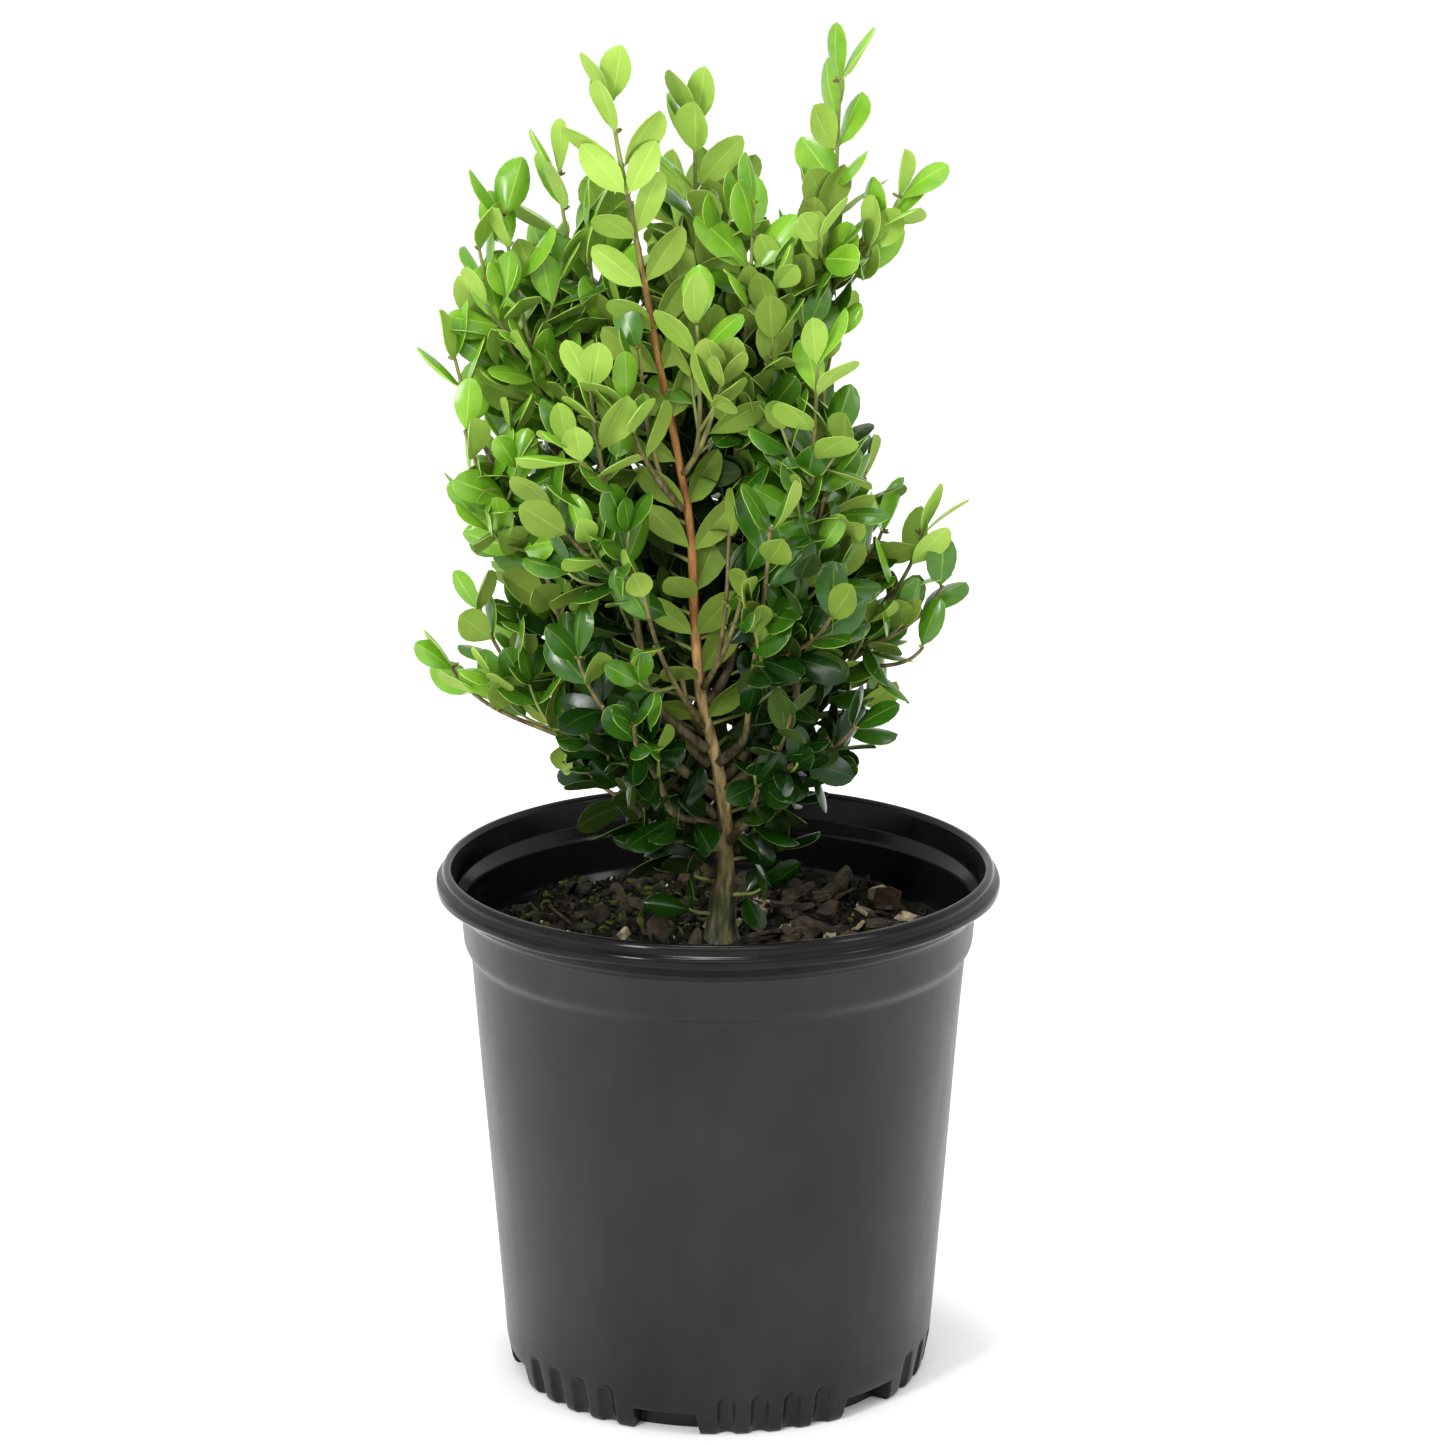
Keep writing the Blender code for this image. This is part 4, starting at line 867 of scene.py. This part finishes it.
def smooth_trunk(points):
    """The trunk's line with many places, eased by a cubic between each two of its named ones."""
    named = np.array(TRUNK_LINE)
    places = named[:, :3]
    slopes = np.gradient(places, axis=0)
    where = np.linspace(0, len(places) - 1, points)
    low = np.minimum(where.astype(int), len(places) - 2)
    t = (where - low)[:, None]
    rise = 3 * t**2 - 2 * t**3
    curve = places[low] * (1 - rise) + places[low + 1] * rise
    curve = curve + slopes[low] * (t - 2 * t**2 + t**3) + slopes[low + 1] * (t**3 - t**2)
    return Line(curve, np.interp(where, np.arange(len(named), dtype=float), named[:, 3]))


def trunk_at(trunk, height):
    """The trunk's centre and radius at a height or at each of several."""
    heights = trunk.places[:, 2]
    return read_at(height, heights, trunk.places), np.interp(height, heights, trunk.radii)


def leave_trunk(trunk, height, target, radius):
    """Where a limb of that radius starts, just clear of the trunk's bark, and its direction there."""
    centre, trunk_radius = trunk_at(trunk, height)
    index = min(int(np.searchsorted(trunk.places[:, 2], height)), len(trunk.places) - 1)
    lean = unit(trunk.places[index] - trunk.places[index - 1])
    level = level_way(target - centre)
    rise = math.radians(BOUGH_RISE_ANGLE)
    leave = level * math.cos(rise) + UP * math.sin(rise)
    outward = unit(level - lean * (level @ lean))
    reach_back = radius * math.sqrt(1 - (leave @ outward) ** 2)
    return centre + outward * (trunk_radius + reach_back + CLEARANCE), leave


def across(direction):
    """Two unit directions at right angles to a shoot and to each other."""
    first = unit(np.cross(direction, ANY_SIDE))
    return first, np.cross(direction, first)


def make_boughs(trunk):
    """The line of each bough, from just inside the trunk's bark to the start of its mass of foliage."""
    boughs = {}
    radii = (BOUGH_RADIUS, BOUGH_TIP_RADIUS)
    for mass, (height, tip, tips, _, _) in MASSES.items():
        if tip is None:
            continue
        tip, goal = np.array(tip, float), np.array(tips[0], float)
        start, leave = leave_trunk(trunk, height, tip, BOUGH_RADIUS)
        arrive = unit(unit(goal - tip) + UP)
        boughs[mass] = bezier_line(start - leave * BOUGH_SINK, leave, arrive, tip, *radii, BOUGH_POINTS)
    return boughs


def spines_of(mass, trunk, bough):
    """The stem of a mass and its forks, grown from the bough's tip, the trunk's side or the trunk's tip."""
    height, _, tips, _, _ = MASSES[mass]
    goal = np.array(tips[0], float)
    radius = STEM_RADIUS
    if bough is not None:
        start, arrive = bough.places[-1], last_way(bough)
    elif height is None:
        start, arrive = trunk.places[-1], last_way(trunk)
        radius = trunk.radii[-1]
    else:
        start, arrive = leave_trunk(trunk, height, goal, STEM_RADIUS)
    finish = unit(unit(goal - start) + 0.9 * UP)
    end = goal + finish * TIP_REACH
    stem = bezier_line(start - arrive * STEM_SINK, arrive, finish, end, radius, STEM_TIP_RADIUS, STEM_POINTS)
    spines = [stem]
    for tip in tips[1:]:
        place, direction, _ = along_line(stem, distances(stem)[-1] * FORK_PLACES.get(mass, FORK_PLACE))
        goal = np.array(tip, float)
        way = unit(goal - place)
        finish = unit(way + UP)
        end = goal + finish * TIP_REACH
        leave = unit(direction + way)
        spines.append(bezier_line(place, leave, finish, end, FORK_RADIUS, STEM_TIP_RADIUS, STEM_POINTS))
    return spines


def side_twigs(line, space, chance, free_tip, spacing=TWIG_SPACING, share=TWIG_LENGTH_SHARE, bare=8.0):
    """Pairs of side twigs along a line, each pair a quarter turn from the last, shorter towards the tip."""
    length = distances(line)[-1]
    turn = chance.uniform(0, math.pi)
    twigs = []
    for k, distance in enumerate(np.arange(bare, length - free_tip, spacing)):
        distance = distance + chance.uniform(-TWIG_PLACE_SPREAD, TWIG_PLACE_SPREAD) * spacing
        place, direction, radius = along_line(line, distance)
        first, second = across(direction)
        for side in (0.0, math.pi):
            around = turn + k * math.pi / 2 + side + chance.uniform(-TWIG_TURN_SPREAD, TWIG_TURN_SPREAD)
            outward = first * math.cos(around) + second * math.sin(around)
            opened = math.radians(TWIG_ANGLE + chance.uniform(-TWIG_ANGLE_SPREAD, TWIG_ANGLE_SPREAD))
            leave = direction * math.cos(opened) + outward * math.sin(opened)
            reach = share * (length - distance) + TWIG_LENGTH_LEAST
            reach = min(reach * chance.uniform(*TWIG_LENGTH_SPREAD), space - TWIG_INSIDE_SPACE)
            end = place + leave * reach + UP * reach * TWIG_LIFT
            radii = (min(TWIG_RADIUS, radius * 0.85), TWIG_TIP_RADIUS)
            twigs.append(bezier_line(place, leave, unit(leave + UP), end, *radii, TWIG_POINTS))
    return twigs


def trunk_twigs(trunk):
    """The short shoots round the foot of the trunk and inside the crown, each from inside its bark."""
    heights = np.arange(*INNER_SHOOT_HEIGHTS)
    ways = np.resize(INNER_SHOOT_WAYS, len(heights))
    inner = [(height, way, INNER_SHOOT_LENGTH) for height, way in zip(heights, ways)]
    radii = (TRUNK_SHOOT_RADIUS, TRUNK_SHOOT_TIP_RADIUS)
    twigs = []
    for height, way, length in (*FOOT_SHOOTS, *inner):
        centre, radius = trunk_at(trunk, height)
        turn = math.radians(way)
        level = np.array((math.cos(turn), math.sin(turn), 0.0))
        leave = unit(level + 0.35 * UP)
        start = centre + level * radius * 0.6
        end = start + leave * (length + radius)
        twigs.append(bezier_line(start, leave, unit(level + UP), end, *radii, TWIG_POINTS))
    return twigs


def hides_leader(trunk, places, margin):
    """True for places in front of the leader, within a margin of it to either side along the view's slope."""
    height = places[:, 2]
    for _ in range(3):
        leader_y = trunk_at(trunk, height)[0][:, 1]
        height = places[:, 2] - (leader_y - places[:, 1]) * math.tan(CAMERA_PITCH)
    leader_x = trunk_at(trunk, height)[0][:, 0]
    shows = (height > LEADER_SHOWS[0]) & (height < LEADER_SHOWS[1])
    margin = np.where((height > LEADER_OPEN[0]) & (height < LEADER_OPEN[1]), margin, margin * 0.4)
    return shows & (places[:, 1] < leader_y - 1.0) & (np.abs(places[:, 0] - leader_x) < margin)


def within_sides(places):
    """True inside the crown's outline and out of its gaps, carried along the line of sight to y = 0."""
    share = -CAMERA_PLACE[1] / (places[:, 1] - CAMERA_PLACE[1])
    side = CAMERA_PLACE[0] + (places[:, 0] - CAMERA_PLACE[0]) * share
    height = CAMERA_PLACE[2] + (places[:, 2] - CAMERA_PLACE[2]) * share
    heights, left, right = np.array(CROWN_SIDES, float).T
    inside = (side > np.interp(height, heights, left)) & (side < np.interp(height, heights, right))
    for gap_side, gap_height, half_width, half_height in SKY_GAPS:
        inside &= ((side - gap_side) / half_width) ** 2 + ((height - gap_height) / half_height) ** 2 > 1.0
    return inside


def keeps_clear(line, limbs, margin):
    """True where a line's outer four fifths stay clear of the trunk and the boughs."""
    return gaps(line.places[len(line.places) // 5 + 1 :], *limbs).min() > margin


def grow(trunk, boughs):
    """Every stem, fork and side twig of every mass, and short leafy twigs on the boughs' outer parts."""
    chance = np.random.default_rng(CROWN_SEED)
    limbs = Line(*(np.concatenate(parts) for parts in zip(trunk, *boughs.values())))
    shoots = []
    spines = {}
    for mass, (_, _, _, space, _) in MASSES.items():
        spines[mass] = spines_of(mass, trunk, boughs.get(mass))
        shoots += [Shoot(mass, line, min(number, 1)) for number, line in enumerate(spines[mass])]
        grown = []
        for line in spines[mass]:
            free_tip = FREE_TIPS.get(mass, TWIG_FREE_TIP)
            grown += [Shoot(mass, twig, 2) for twig in side_twigs(line, space, chance, free_tip)]
        if mass in boughs:
            bare = BOUGH_BARE_SHARE * distances(boughs[mass])[-1]
            kind = (0.0, BOUGH_TWIG_SPACING, BOUGH_TWIG_SHARE, bare)
            grown += [Shoot(mass, twig, 3) for twig in side_twigs(boughs[mass], space, chance, *kind)]
        for shoot in grown:
            hides = hides_leader(trunk, shoot.line.places, 5.0).any()
            if keeps_clear(shoot.line, limbs, 1.0) and not hides:
                shoots.append(shoot)
    return shoots, spines, limbs


def carried(centre, radius, sides, relief=None):
    """Round tubes along many lines: centre + radius (first cos a + second sin a), with both ends closed."""
    count, points = radius.shape
    direction = unit(np.gradient(centre, axis=1))
    first, second = across(direction)
    turn = ring_turns(sides)
    out = first[:, :, None] * np.cos(turn)[:, None] + second[:, :, None] * np.sin(turn)[:, None]
    round_radius = np.broadcast_to(radius[:, :, None], out.shape[:3])
    if relief is not None:
        round_radius = round_radius + relief(centre, round_radius, turn)
    rings = (centre[:, :, None] + out * round_radius[..., None]).reshape(count, -1, 3)
    near_end = centre[:, 0] - direction[:, 0] * radius[:, :1] * 0.3
    far_end = centre[:, -1] + direction[:, -1] * radius[:, -1:] * 0.6
    surface = np.concatenate([rings, near_end[:, None], far_end[:, None]], 1)
    return surface.reshape(-1, 3), copies(closed_faces(points, sides), count, surface.shape[1])


def tubes(lines, sides, points, relief=None):
    """Every line is read again at the same number of places, and all are carried as one array of tubes."""
    read = [along_line(line, np.linspace(0, distances(line)[-1], points)) for line in lines]
    centre = np.array([places for places, _, _ in read])
    radius = np.array([radii for _, _, radii in read])
    return carried(centre, radius, sides, relief)


def trunk_relief(centre, radius, turn):
    """Bark: cosine furrows and cracks that wander upwards, lobes at the foot, rings at old leaf pairs."""
    height = centre[:, :, None, 2]
    along = height / 9.0
    furrows = 0.022 * np.cos(5 * turn + 0.5 * np.sin(along * 0.7))
    furrows = furrows + 0.018 * np.cos(9 * turn - 0.7 * np.sin(along * 0.43 + 1))
    cracks = -0.05 * np.maximum(np.cos(11 * turn + 0.9 * np.sin(along * 0.55)), 0.55)
    surface = np.stack(np.broadcast_arrays(np.cos(turn) * 6, np.sin(turn) * 6, height * 0.5), -1)
    crumbs = waves(surface, 2.2, 41) * 0.05
    lobes = 0.10 + 0.12 * np.cos(3 * turn + 0.6) + 0.06 * np.cos(5 * turn)
    lobes = np.exp(-(height - TRUNK_FOOT) / 5.0) * lobes * (height < 185.0)
    nodes = 0.05 * np.exp(-(((height - 6.0) % 18.0 - 9.0) / 1.6) ** 2) * (height > 196.0)
    return radius * (furrows + cracks + 0.03 + crumbs + lobes + nodes)


def bough_relief(centre, radius, turn):
    """Thin bark: faint furrows along each bough and a swelling at each old leaf pair."""
    along = np.arange(centre.shape[1])[None, :, None]
    number = np.arange(centre.shape[0])[:, None, None]
    furrows = 0.04 * np.cos(4 * turn + 0.35 * along + number)
    furrows = furrows + 0.03 * np.cos(7 * turn - 0.2 * along + 2 * number)
    nodes = 0.14 * np.exp(-(((along + 3 * number) % 9 - 4.5) / 0.9) ** 2)
    return radius * (furrows + nodes)


def trunk_finish():
    """Olive bark at the foot, pale bark above it, orange bark on the leader and green at its top."""
    first, second = (0.011, 0.013, 0.003), (0.110, 0.104, 0.038)
    bark = new_finish("pale_bark", first, second, TRUNK_STREAKS, BARK_GRAIN, (0.8, 0.5))
    pale = ((0.270, 0.185, 0.062), (0.740, 0.550, 0.260), 172.0, 210.0)
    orange = ((0.220, 0.080, 0.016), (0.540, 0.260, 0.075), 232.0, 280.0)
    green = ((0.060, 0.055, 0.012), (0.170, 0.160, 0.035), 375.0, 410.0)
    return fade_upwards(bark, TRUNK_STREAKS, pale, orange, green)


def stem_finish():
    """Young bark that is brown low in the crown and green near the tips."""
    first, second = (0.070, 0.055, 0.016), (0.210, 0.165, 0.060)
    bark = new_finish("stem_bark", first, second, STREAKS, BARK_GRAIN, (0.5, 0.3))
    return fade_upwards(bark, STREAKS, ((0.130, 0.180, 0.030), (0.270, 0.340, 0.070), 330.0, 400.0))


def twig_finish():
    patches = {"Scale": 120.0, "Stretch": (1.0, 1.0, 0.5)}
    grain = {"Scale": 500.0, "Stretch": (1.0, 1.0, 0.3), "Smooth": 0.4, "Rough": 0.6}
    return new_finish("green_skin", (0.110, 0.150, 0.028), (0.250, 0.290, 0.070), patches, grain, (0.3, 0.2))


def make_wood(trunk, boughs, shoots):
    """The trunk and the boughs with their bark, then the leafy stems and the green twigs."""
    first, second = (0.032, 0.028, 0.010), (0.150, 0.118, 0.050)
    limb_finish = new_finish("bough_bark", first, second, STREAKS, BARK_GRAIN, (0.7, 0.4))
    bough_nodes = [f"bough_{mass}" for mass in boughs]
    stems = [shoot.line for shoot in shoots if shoot.order < 2]
    twigs = [shoot.line for shoot in shoots if shoot.order >= 2]
    rows = (
        ("trunk_bark", ([trunk], 44, 420, trunk_relief), trunk_finish(), "pale_bark", ["trunk"]),
        ("bough_bark", (boughs.values(), 14, 44, bough_relief), limb_finish, "young_bark", bough_nodes),
        ("leafy_stems", (stems, 9, 26), stem_finish(), "young_bark", FOLIAGE_NODES),
        ("leafy_twigs", (twigs, 7, 9), twig_finish(), "leaf_green_1", FOLIAGE_NODES),
    )
    for name, shape, finish, slot, nodes in rows:
        finished(add_mesh(name, *tubes(*shape), [finish]), slot, *nodes)


def picked(leaves, choice):
    """The leaves that a choice picks out."""
    return {key: value[choice] for key, value in leaves.items()}


def make_buds(leaves):
    """A small pointed bud in the axil of each leaf that grows on a stem or on the leader."""
    some = picked(leaves, leaves["order"] < 2)
    t = np.linspace(0.0, 1.0, 6)
    way = unit(some["top"] + 0.35 * some["along"])
    start = some["root"] + some["along"] * 0.7
    centre = start[:, None] + way[:, None] * (t * BUD_LENGTH)[None, :, None]
    radius = np.broadcast_to(BUD_RADIUS * np.sin(math.pi * (0.12 + 0.8 * t)) ** 0.7, centre.shape[:2])
    patches = {"Scale": 400.0, "Low": 0.4, "High": 0.6}
    first, second = (0.100, 0.070, 0.018), (0.260, 0.210, 0.060)
    scales = new_finish("bud_scales", first, second, patches, BARK_GRAIN, (0.4, 0.2))
    finished(add_mesh("leaf_buds", *carried(centre, radius, 6), [scales]), "young_bark")


# The leaves.


def leaf_template():
    """One leaf as numbers: how far along and across each point is and on which face, its faces and finishes.

    The upper face has five strips, the lower one three, a thin edge joins them, and a point closes each end.
    The middle strip of both faces is the midrib. The finishes are 0 for the upper face, 1 for the lower face,
    2 for the lower midrib and the edge, and 3 for the upper midrib.
    """
    rows, top, under = len(LEAF_STATIONS), len(LEAF_TOP_PLACES), len(LEAF_UNDER_PLACES)
    each = top + under
    ring_across = np.concatenate([LEAF_TOP_PLACES, LEAF_UNDER_PLACES[::-1]])
    ring_side = np.concatenate([np.ones(top), -np.ones(under)])
    t = np.concatenate([np.repeat(LEAF_STATIONS, each), [0.0, 1.0]])
    s = np.concatenate([np.tile(ring_across, rows), [0.0, 0.0]])
    side = np.concatenate([np.tile(ring_side, rows), [0.0, 0.0]])
    ring_finish = np.array([0, 0, 3, 0, 0, 2, 1, 2, 1, 2])
    faces = [group[:, ::-1] for group in closed_faces(rows, each)]
    return (t, s, side), faces, (np.tile(ring_finish, rows - 1), np.tile(ring_finish, 2))


def blade_width(t, shape):
    """Half the width as a share of its widest: t^shape (1 - t)^TIP_ROUNDNESS over its greatest value."""
    inside = np.clip((t - STALK_SHARE) / (1 - STALK_SHARE), 0, 1)
    curve = inside**shape * (1 - inside) ** TIP_ROUNDNESS
    peak = shape / (shape + TIP_ROUNDNESS)
    return curve / (peak**shape * (1 - peak) ** TIP_ROUNDNESS)


def leaf_points(leaves, t, s, side):
    """All leaves at once: along the midrib, out to each side, arched over and bent back, a little twisted."""
    own = {key: leaves[key][:, None] for key in ("length", "width", *LEAF_SPREADS)}
    t, s, side = t[None], s[None], side[None]
    half = np.maximum(own["width"] / 2 * blade_width(t, own["shape"]), STALK_HALF_WIDTH * (t < STALK_END))
    half = np.where((t == 0.0) | (t == 1.0), 0.0, half)
    reach = own["length"] * t
    sideways = s * half
    arch = -own["arch"] * half * np.abs(s) ** 1.7
    groove = np.where(np.abs(s) < 0.1, -MIDRIB_RELIEF * np.abs(side), 0.0)
    thick = side * LEAF_THICKNESS / 2 + groove
    bent = own["length"] * (own["rise"] * t - own["bend"] * t**2)
    wave = own["wave"] * np.sin(t * 6.0 + own["phase"]) * s * half
    twist = own["twist"] * t
    over = arch + thick + wave
    y = sideways * np.cos(twist) - over * np.sin(twist)
    z = sideways * np.sin(twist) + over * np.cos(twist) + bent
    ways = (leaves["along"], np.cross(leaves["top"], leaves["along"]), leaves["top"])
    shape = sum(way[:, None] * size[..., None] for way, size in zip(ways, (reach, y, z)))
    return (leaves["root"][:, None] + shape).reshape(-1, 3)


def pairs_along(
    line, chance, spacing, bare, sizes, angles, turn=None, step=math.pi / 2, facing=None, inward=TURN_INWARD
):
    """Seeded pairs of leaves along a shoot, from its tip down, with every second pair turned by the step.

    The upper faces look towards the shoot's tip and, unless they are given a facing, towards the crown's
    axis or, where inward is less than 0, away from it.
    """
    length = distances(line)[-1]
    count = max(int((length - bare) // spacing) + 1, 1)
    turn = chance.uniform(0, math.pi) if turn is None else turn
    pair = np.repeat(np.arange(count), 2)
    side = np.tile([0.0, math.pi], count)

    def spread(most):
        return chance.uniform(-most, most, len(pair))

    far = length - np.maximum(pair * spacing + spread(PLACE_SPREAD) * spacing * (pair > 0), 0.6)
    place, direction, radius = along_line(line, far)
    radius = radius[:, None]
    first, second = across(direction)
    around = (turn + pair % 2 * step + side + spread(TURN_SPREAD))[:, None]
    outward = first * np.cos(around) + second * np.sin(around)
    opened = np.array(angles)[np.minimum(pair, len(angles) - 1)] + spread(ANGLE_SPREAD)
    opened = np.radians(opened)[:, None]
    along = direction * np.cos(opened) + outward * np.sin(opened)
    if facing is None:
        root = place + outward * (radius - 0.35)
        facing = level_way(CROWN_AXIS - place) * inward
    else:
        root = place + outward * radius * 0.25 - unit(facing) * radius * 0.9
    upward = direction + facing
    upward = upward + np.cross(outward, direction) * spread(LEAN_SPREAD)[:, None]
    top = unit(upward - along * np.sum(upward * along, -1, keepdims=True))
    size = np.array(sizes)[np.minimum(pair, len(sizes) - 1)] * chance.uniform(*SIZE_SPREAD, len(pair))
    return {"root": root, "along": along, "top": top, "size": size, "pair": pair, "far": far}


def labelled(batch, order, light, over=0.0, number=-1):
    """The batch with its shoot's number and order, its lightness and how far it is out of its space."""
    labels = {"shoot": number, "order": order, "light": light, "over": over}
    return batch | {key: np.broadcast_to(value, len(batch["size"])) for key, value in labels.items()}


def on_leader(leaves):
    """True for the leader's own leaves."""
    return (leaves["shoot"] < 0) & (leaves["order"] == 0)


def at_share(leaves, share):
    """The place at a share of each leaf's length."""
    return leaves["root"] + leaves["along"] * (leaves["size"] * LEAF_LENGTH * share)[:, None]


def shoot_leaves(shoot, number, spine, chance):
    """The leaves of one stem, fork or twig of a mass."""
    space, tint = MASSES[shoot.mass][3:5]
    if shoot.order < 2:
        kind = STEM_PAIRS | {"turn": chance.normal(0.0, 0.5)}
    else:
        kind = TWIG_PAIRS
    batch = pairs_along(shoot.line, chance, **kind, inward=chance.uniform(*TURN_RANGE))
    batch["size"] = batch["size"] * np.interp(batch["root"][:, 2], *LOW_LEAF_SIZES)
    reach = gaps(at_share(batch, 1.0), np.concatenate([line.places for line in spine])).min(1)
    on_bough = shoot.order == 3
    light = tint - ON_BOUGH_SHADE * on_bough + chance.normal(0, SHOOT_LIGHT_SPREAD)
    light = light - PAIR_SHADE * np.maximum(batch["pair"] - 1, 0)
    return labelled(batch, shoot.order, light, 0.0 if on_bough else reach - space, number)


def all_leaves(trunk, boughs, shoots, spines, limbs):
    """Every leaf of the crown: those in their mass's space that touch no limb and crowd no earlier leaf.

    The leader's leaves come first, then each shoot's from its tip down, so those left out are inner ones.
    """
    chance = np.random.default_rng(CROWN_SEED + 1)
    leads = trunk.places[:, 2] > LEADER_LEAVES_FROM
    leader = Line(trunk.places[leads], trunk.radii[leads])
    batch = pairs_along(leader, chance, **LEADER_PAIRS, **LEADER_WAY)
    batches = [labelled(batch, 0, np.interp(batch["root"][:, 2], *LEADER_LIGHTS))]
    for line in trunk_twigs(trunk):
        batches.append(labelled(pairs_along(line, chance, **SHORT_PAIRS), 3, SHORT_SHOOT_LIGHT))
    for line in boughs.values():
        bare = BOUGH_PAIRS_BARE_SHARE * distances(line)[-1]
        batches.append(labelled(pairs_along(line, chance, bare=bare, **BOUGH_PAIRS), 3, BOUGH_LIGHT))
    for number, shoot in enumerate(shoots):
        batches.append(shoot_leaves(shoot, number, spines[shoot.mass], chance))
    leaves = {key: np.concatenate([batch[key] for batch in batches]) for key in batches[0]}
    middle, end = at_share(leaves, 0.6), at_share(leaves, 0.9)
    keep = (leaves["over"] <= 0) & (middle[:, 2] > SOIL_LEVEL + 5.0)
    for spot, margin, view_margin in ((middle, 2.0, 16.0), (end, 0.8, 12.0)):
        keep &= gaps(spot, *limbs).min(1) > margin
        keep &= on_leader(leaves) | ~hides_leader(trunk, spot, view_margin)
        keep &= within_sides(spot)
    chosen = []
    for index in np.flatnonzero(keep):
        if not chosen or np.linalg.norm(middle[chosen] - middle[index], axis=1).min() >= LEAF_ROOM:
            chosen.append(index)
    return picked(leaves | {"middle": middle}, chosen)


def trimmed(shoots, leaves):
    """Every shoot cut off just beyond its outermost leaf or side shoot, without the twigs with few leaves."""
    kept = []
    for number in range(len(shoots) - 1, -1, -1):
        mass, line, order = shoots[number]
        own = leaves["far"][leaves["shoot"] == number]
        if order > 1 and len(own) < FEWEST_LEAVES:
            continue
        reach = own.max(initial=0.0)
        for other in kept:
            gap = np.linalg.norm(line.places - other.line.places[0], axis=1)
            if other.mass == mass and other.order > order and gap.min() < SIDE_SHOOT_REACH:
                reach = max(reach, distances(line)[gap.argmin()])
        if reach > 0.0:
            cut = np.linspace(0.0, min(reach + TRIM_PAST, distances(line)[-1]), len(line.places))
            places, _, radii = along_line(line, cut)
            kept.append(Shoot(mass, Line(places, radii), order))
    return kept[::-1]


def shaped(leaves):
    """Gives each leaf its own length, width, outline, arch, bend, twist and wave."""
    chance = np.random.default_rng(CROWN_SEED + 2)
    for key, (least, most) in LEAF_SPREADS.items():
        leaves[key] = chance.uniform(least, most, len(leaves["size"]))
    leaves["length"] = leaves["size"] * LEAF_LENGTH
    slim = np.where(on_leader(leaves), LEADER_SLIMNESS, 1.0)
    leaves["width"] = leaves["length"] * leaves["slimness"] * slim
    return leaves


def openness(middle):
    """Painted light and shade for the leaves' colour: each leaf's rank, from 0 to 1, by how few leaves are
    near it towards the light.
    """
    toward = unit(level_way(middle - CROWN_AXIS) + 0.9 * UP)
    shade = np.zeros(len(middle))
    for index, place in enumerate(middle):
        gap = middle - place
        distance = np.linalg.norm(gap, axis=1)
        in_the_way = gap @ toward[index] > SHADE_CONE * distance + 0.1
        shade[index] = np.sum((distance < SHADE_REACH) & in_the_way)
    return 1.0 - np.argsort(np.argsort(shade)) / len(shade)


def leaf_finishes(name, upper, lower, shine):
    """Glossy upper face, matt lower face, and the paler midribs of the lower and of the upper face."""
    bright, pale = np.array(upper[1]), np.array(lower[1]) * 1.15 + 0.02
    vein = (bright * 0.75 + pale * 0.25, bright * 0.6 + pale * 0.4)
    rows = (
        ("upper", upper, LEAF_GLOSS, (0.25, 0.25), shine),
        ("lower", lower, LEAF_MATT, (0.2, 0.2), 0.15),
        ("rib", (pale * 0.8, pale), LEAF_MATT, (0.1, 0.1), 0.15),
        ("top_rib", vein, LEAF_GLOSS, (0.1, 0.1), 0.24),
    )
    return [new_finish(f"{name}_{face}", *two, LEAF_PATCHES, *rest) for face, two, *rest in rows]


def make_leaves(leaves):
    """Deals the leaves out to four greens by their age and by painted light and shade, and joins each green
    into one mesh.
    """
    middle = leaves["middle"]
    # Painted light and shade: lighter higher up, where fewer leaves stand towards the light, and on the left
    # towards the strongest lamp.
    light = HEIGHT_LIGHT * ((middle[:, 2] - LIGHT_FOOT) / LIGHT_RISE) + OPEN_LIGHT * openness(middle)
    light = light + OWN_LIGHT * leaves["light"] - LIGHT_LESS
    light = light + LEFT_LIGHT * np.clip(-middle[:, 0] / RIM_RADIUS, 0.0, 1.0)
    kind = np.searchsorted(np.array(LIGHT_LIMITS), light)
    template, template_faces, finishes = leaf_template()
    for number, (name, slot, shine, upper, lower) in enumerate(GREENS):
        some = picked(leaves, kind == number)
        count = len(some["size"])
        faces = copies(template_faces, count, len(template[0]))
        index = np.concatenate([np.tile(finish, count) for finish in finishes])
        looks = leaf_finishes(name, upper, lower, shine)
        piece = add_mesh(name, leaf_points(some, *template), faces, looks, index, sharp_angle=48)
        finished(piece, slot, *FOLIAGE_NODES)


set_camera()
set_stage()
make_pot()
make_soil()
make_chips()
trunk_line = smooth_trunk(160)
bough_lines = make_boughs(trunk_line)
shoot_list, spine_lines, limb_lines = grow(trunk_line, bough_lines)
crown_leaves = all_leaves(trunk_line, bough_lines, shoot_list, spine_lines, limb_lines)
foot_shoots = [Shoot("left_skirt", line, 3) for line in trunk_twigs(trunk_line)]
make_wood(trunk_line, bough_lines, trimmed(shoot_list, crown_leaves) + foot_shoots)
make_buds(crown_leaves)
make_leaves(shaped(crown_leaves))
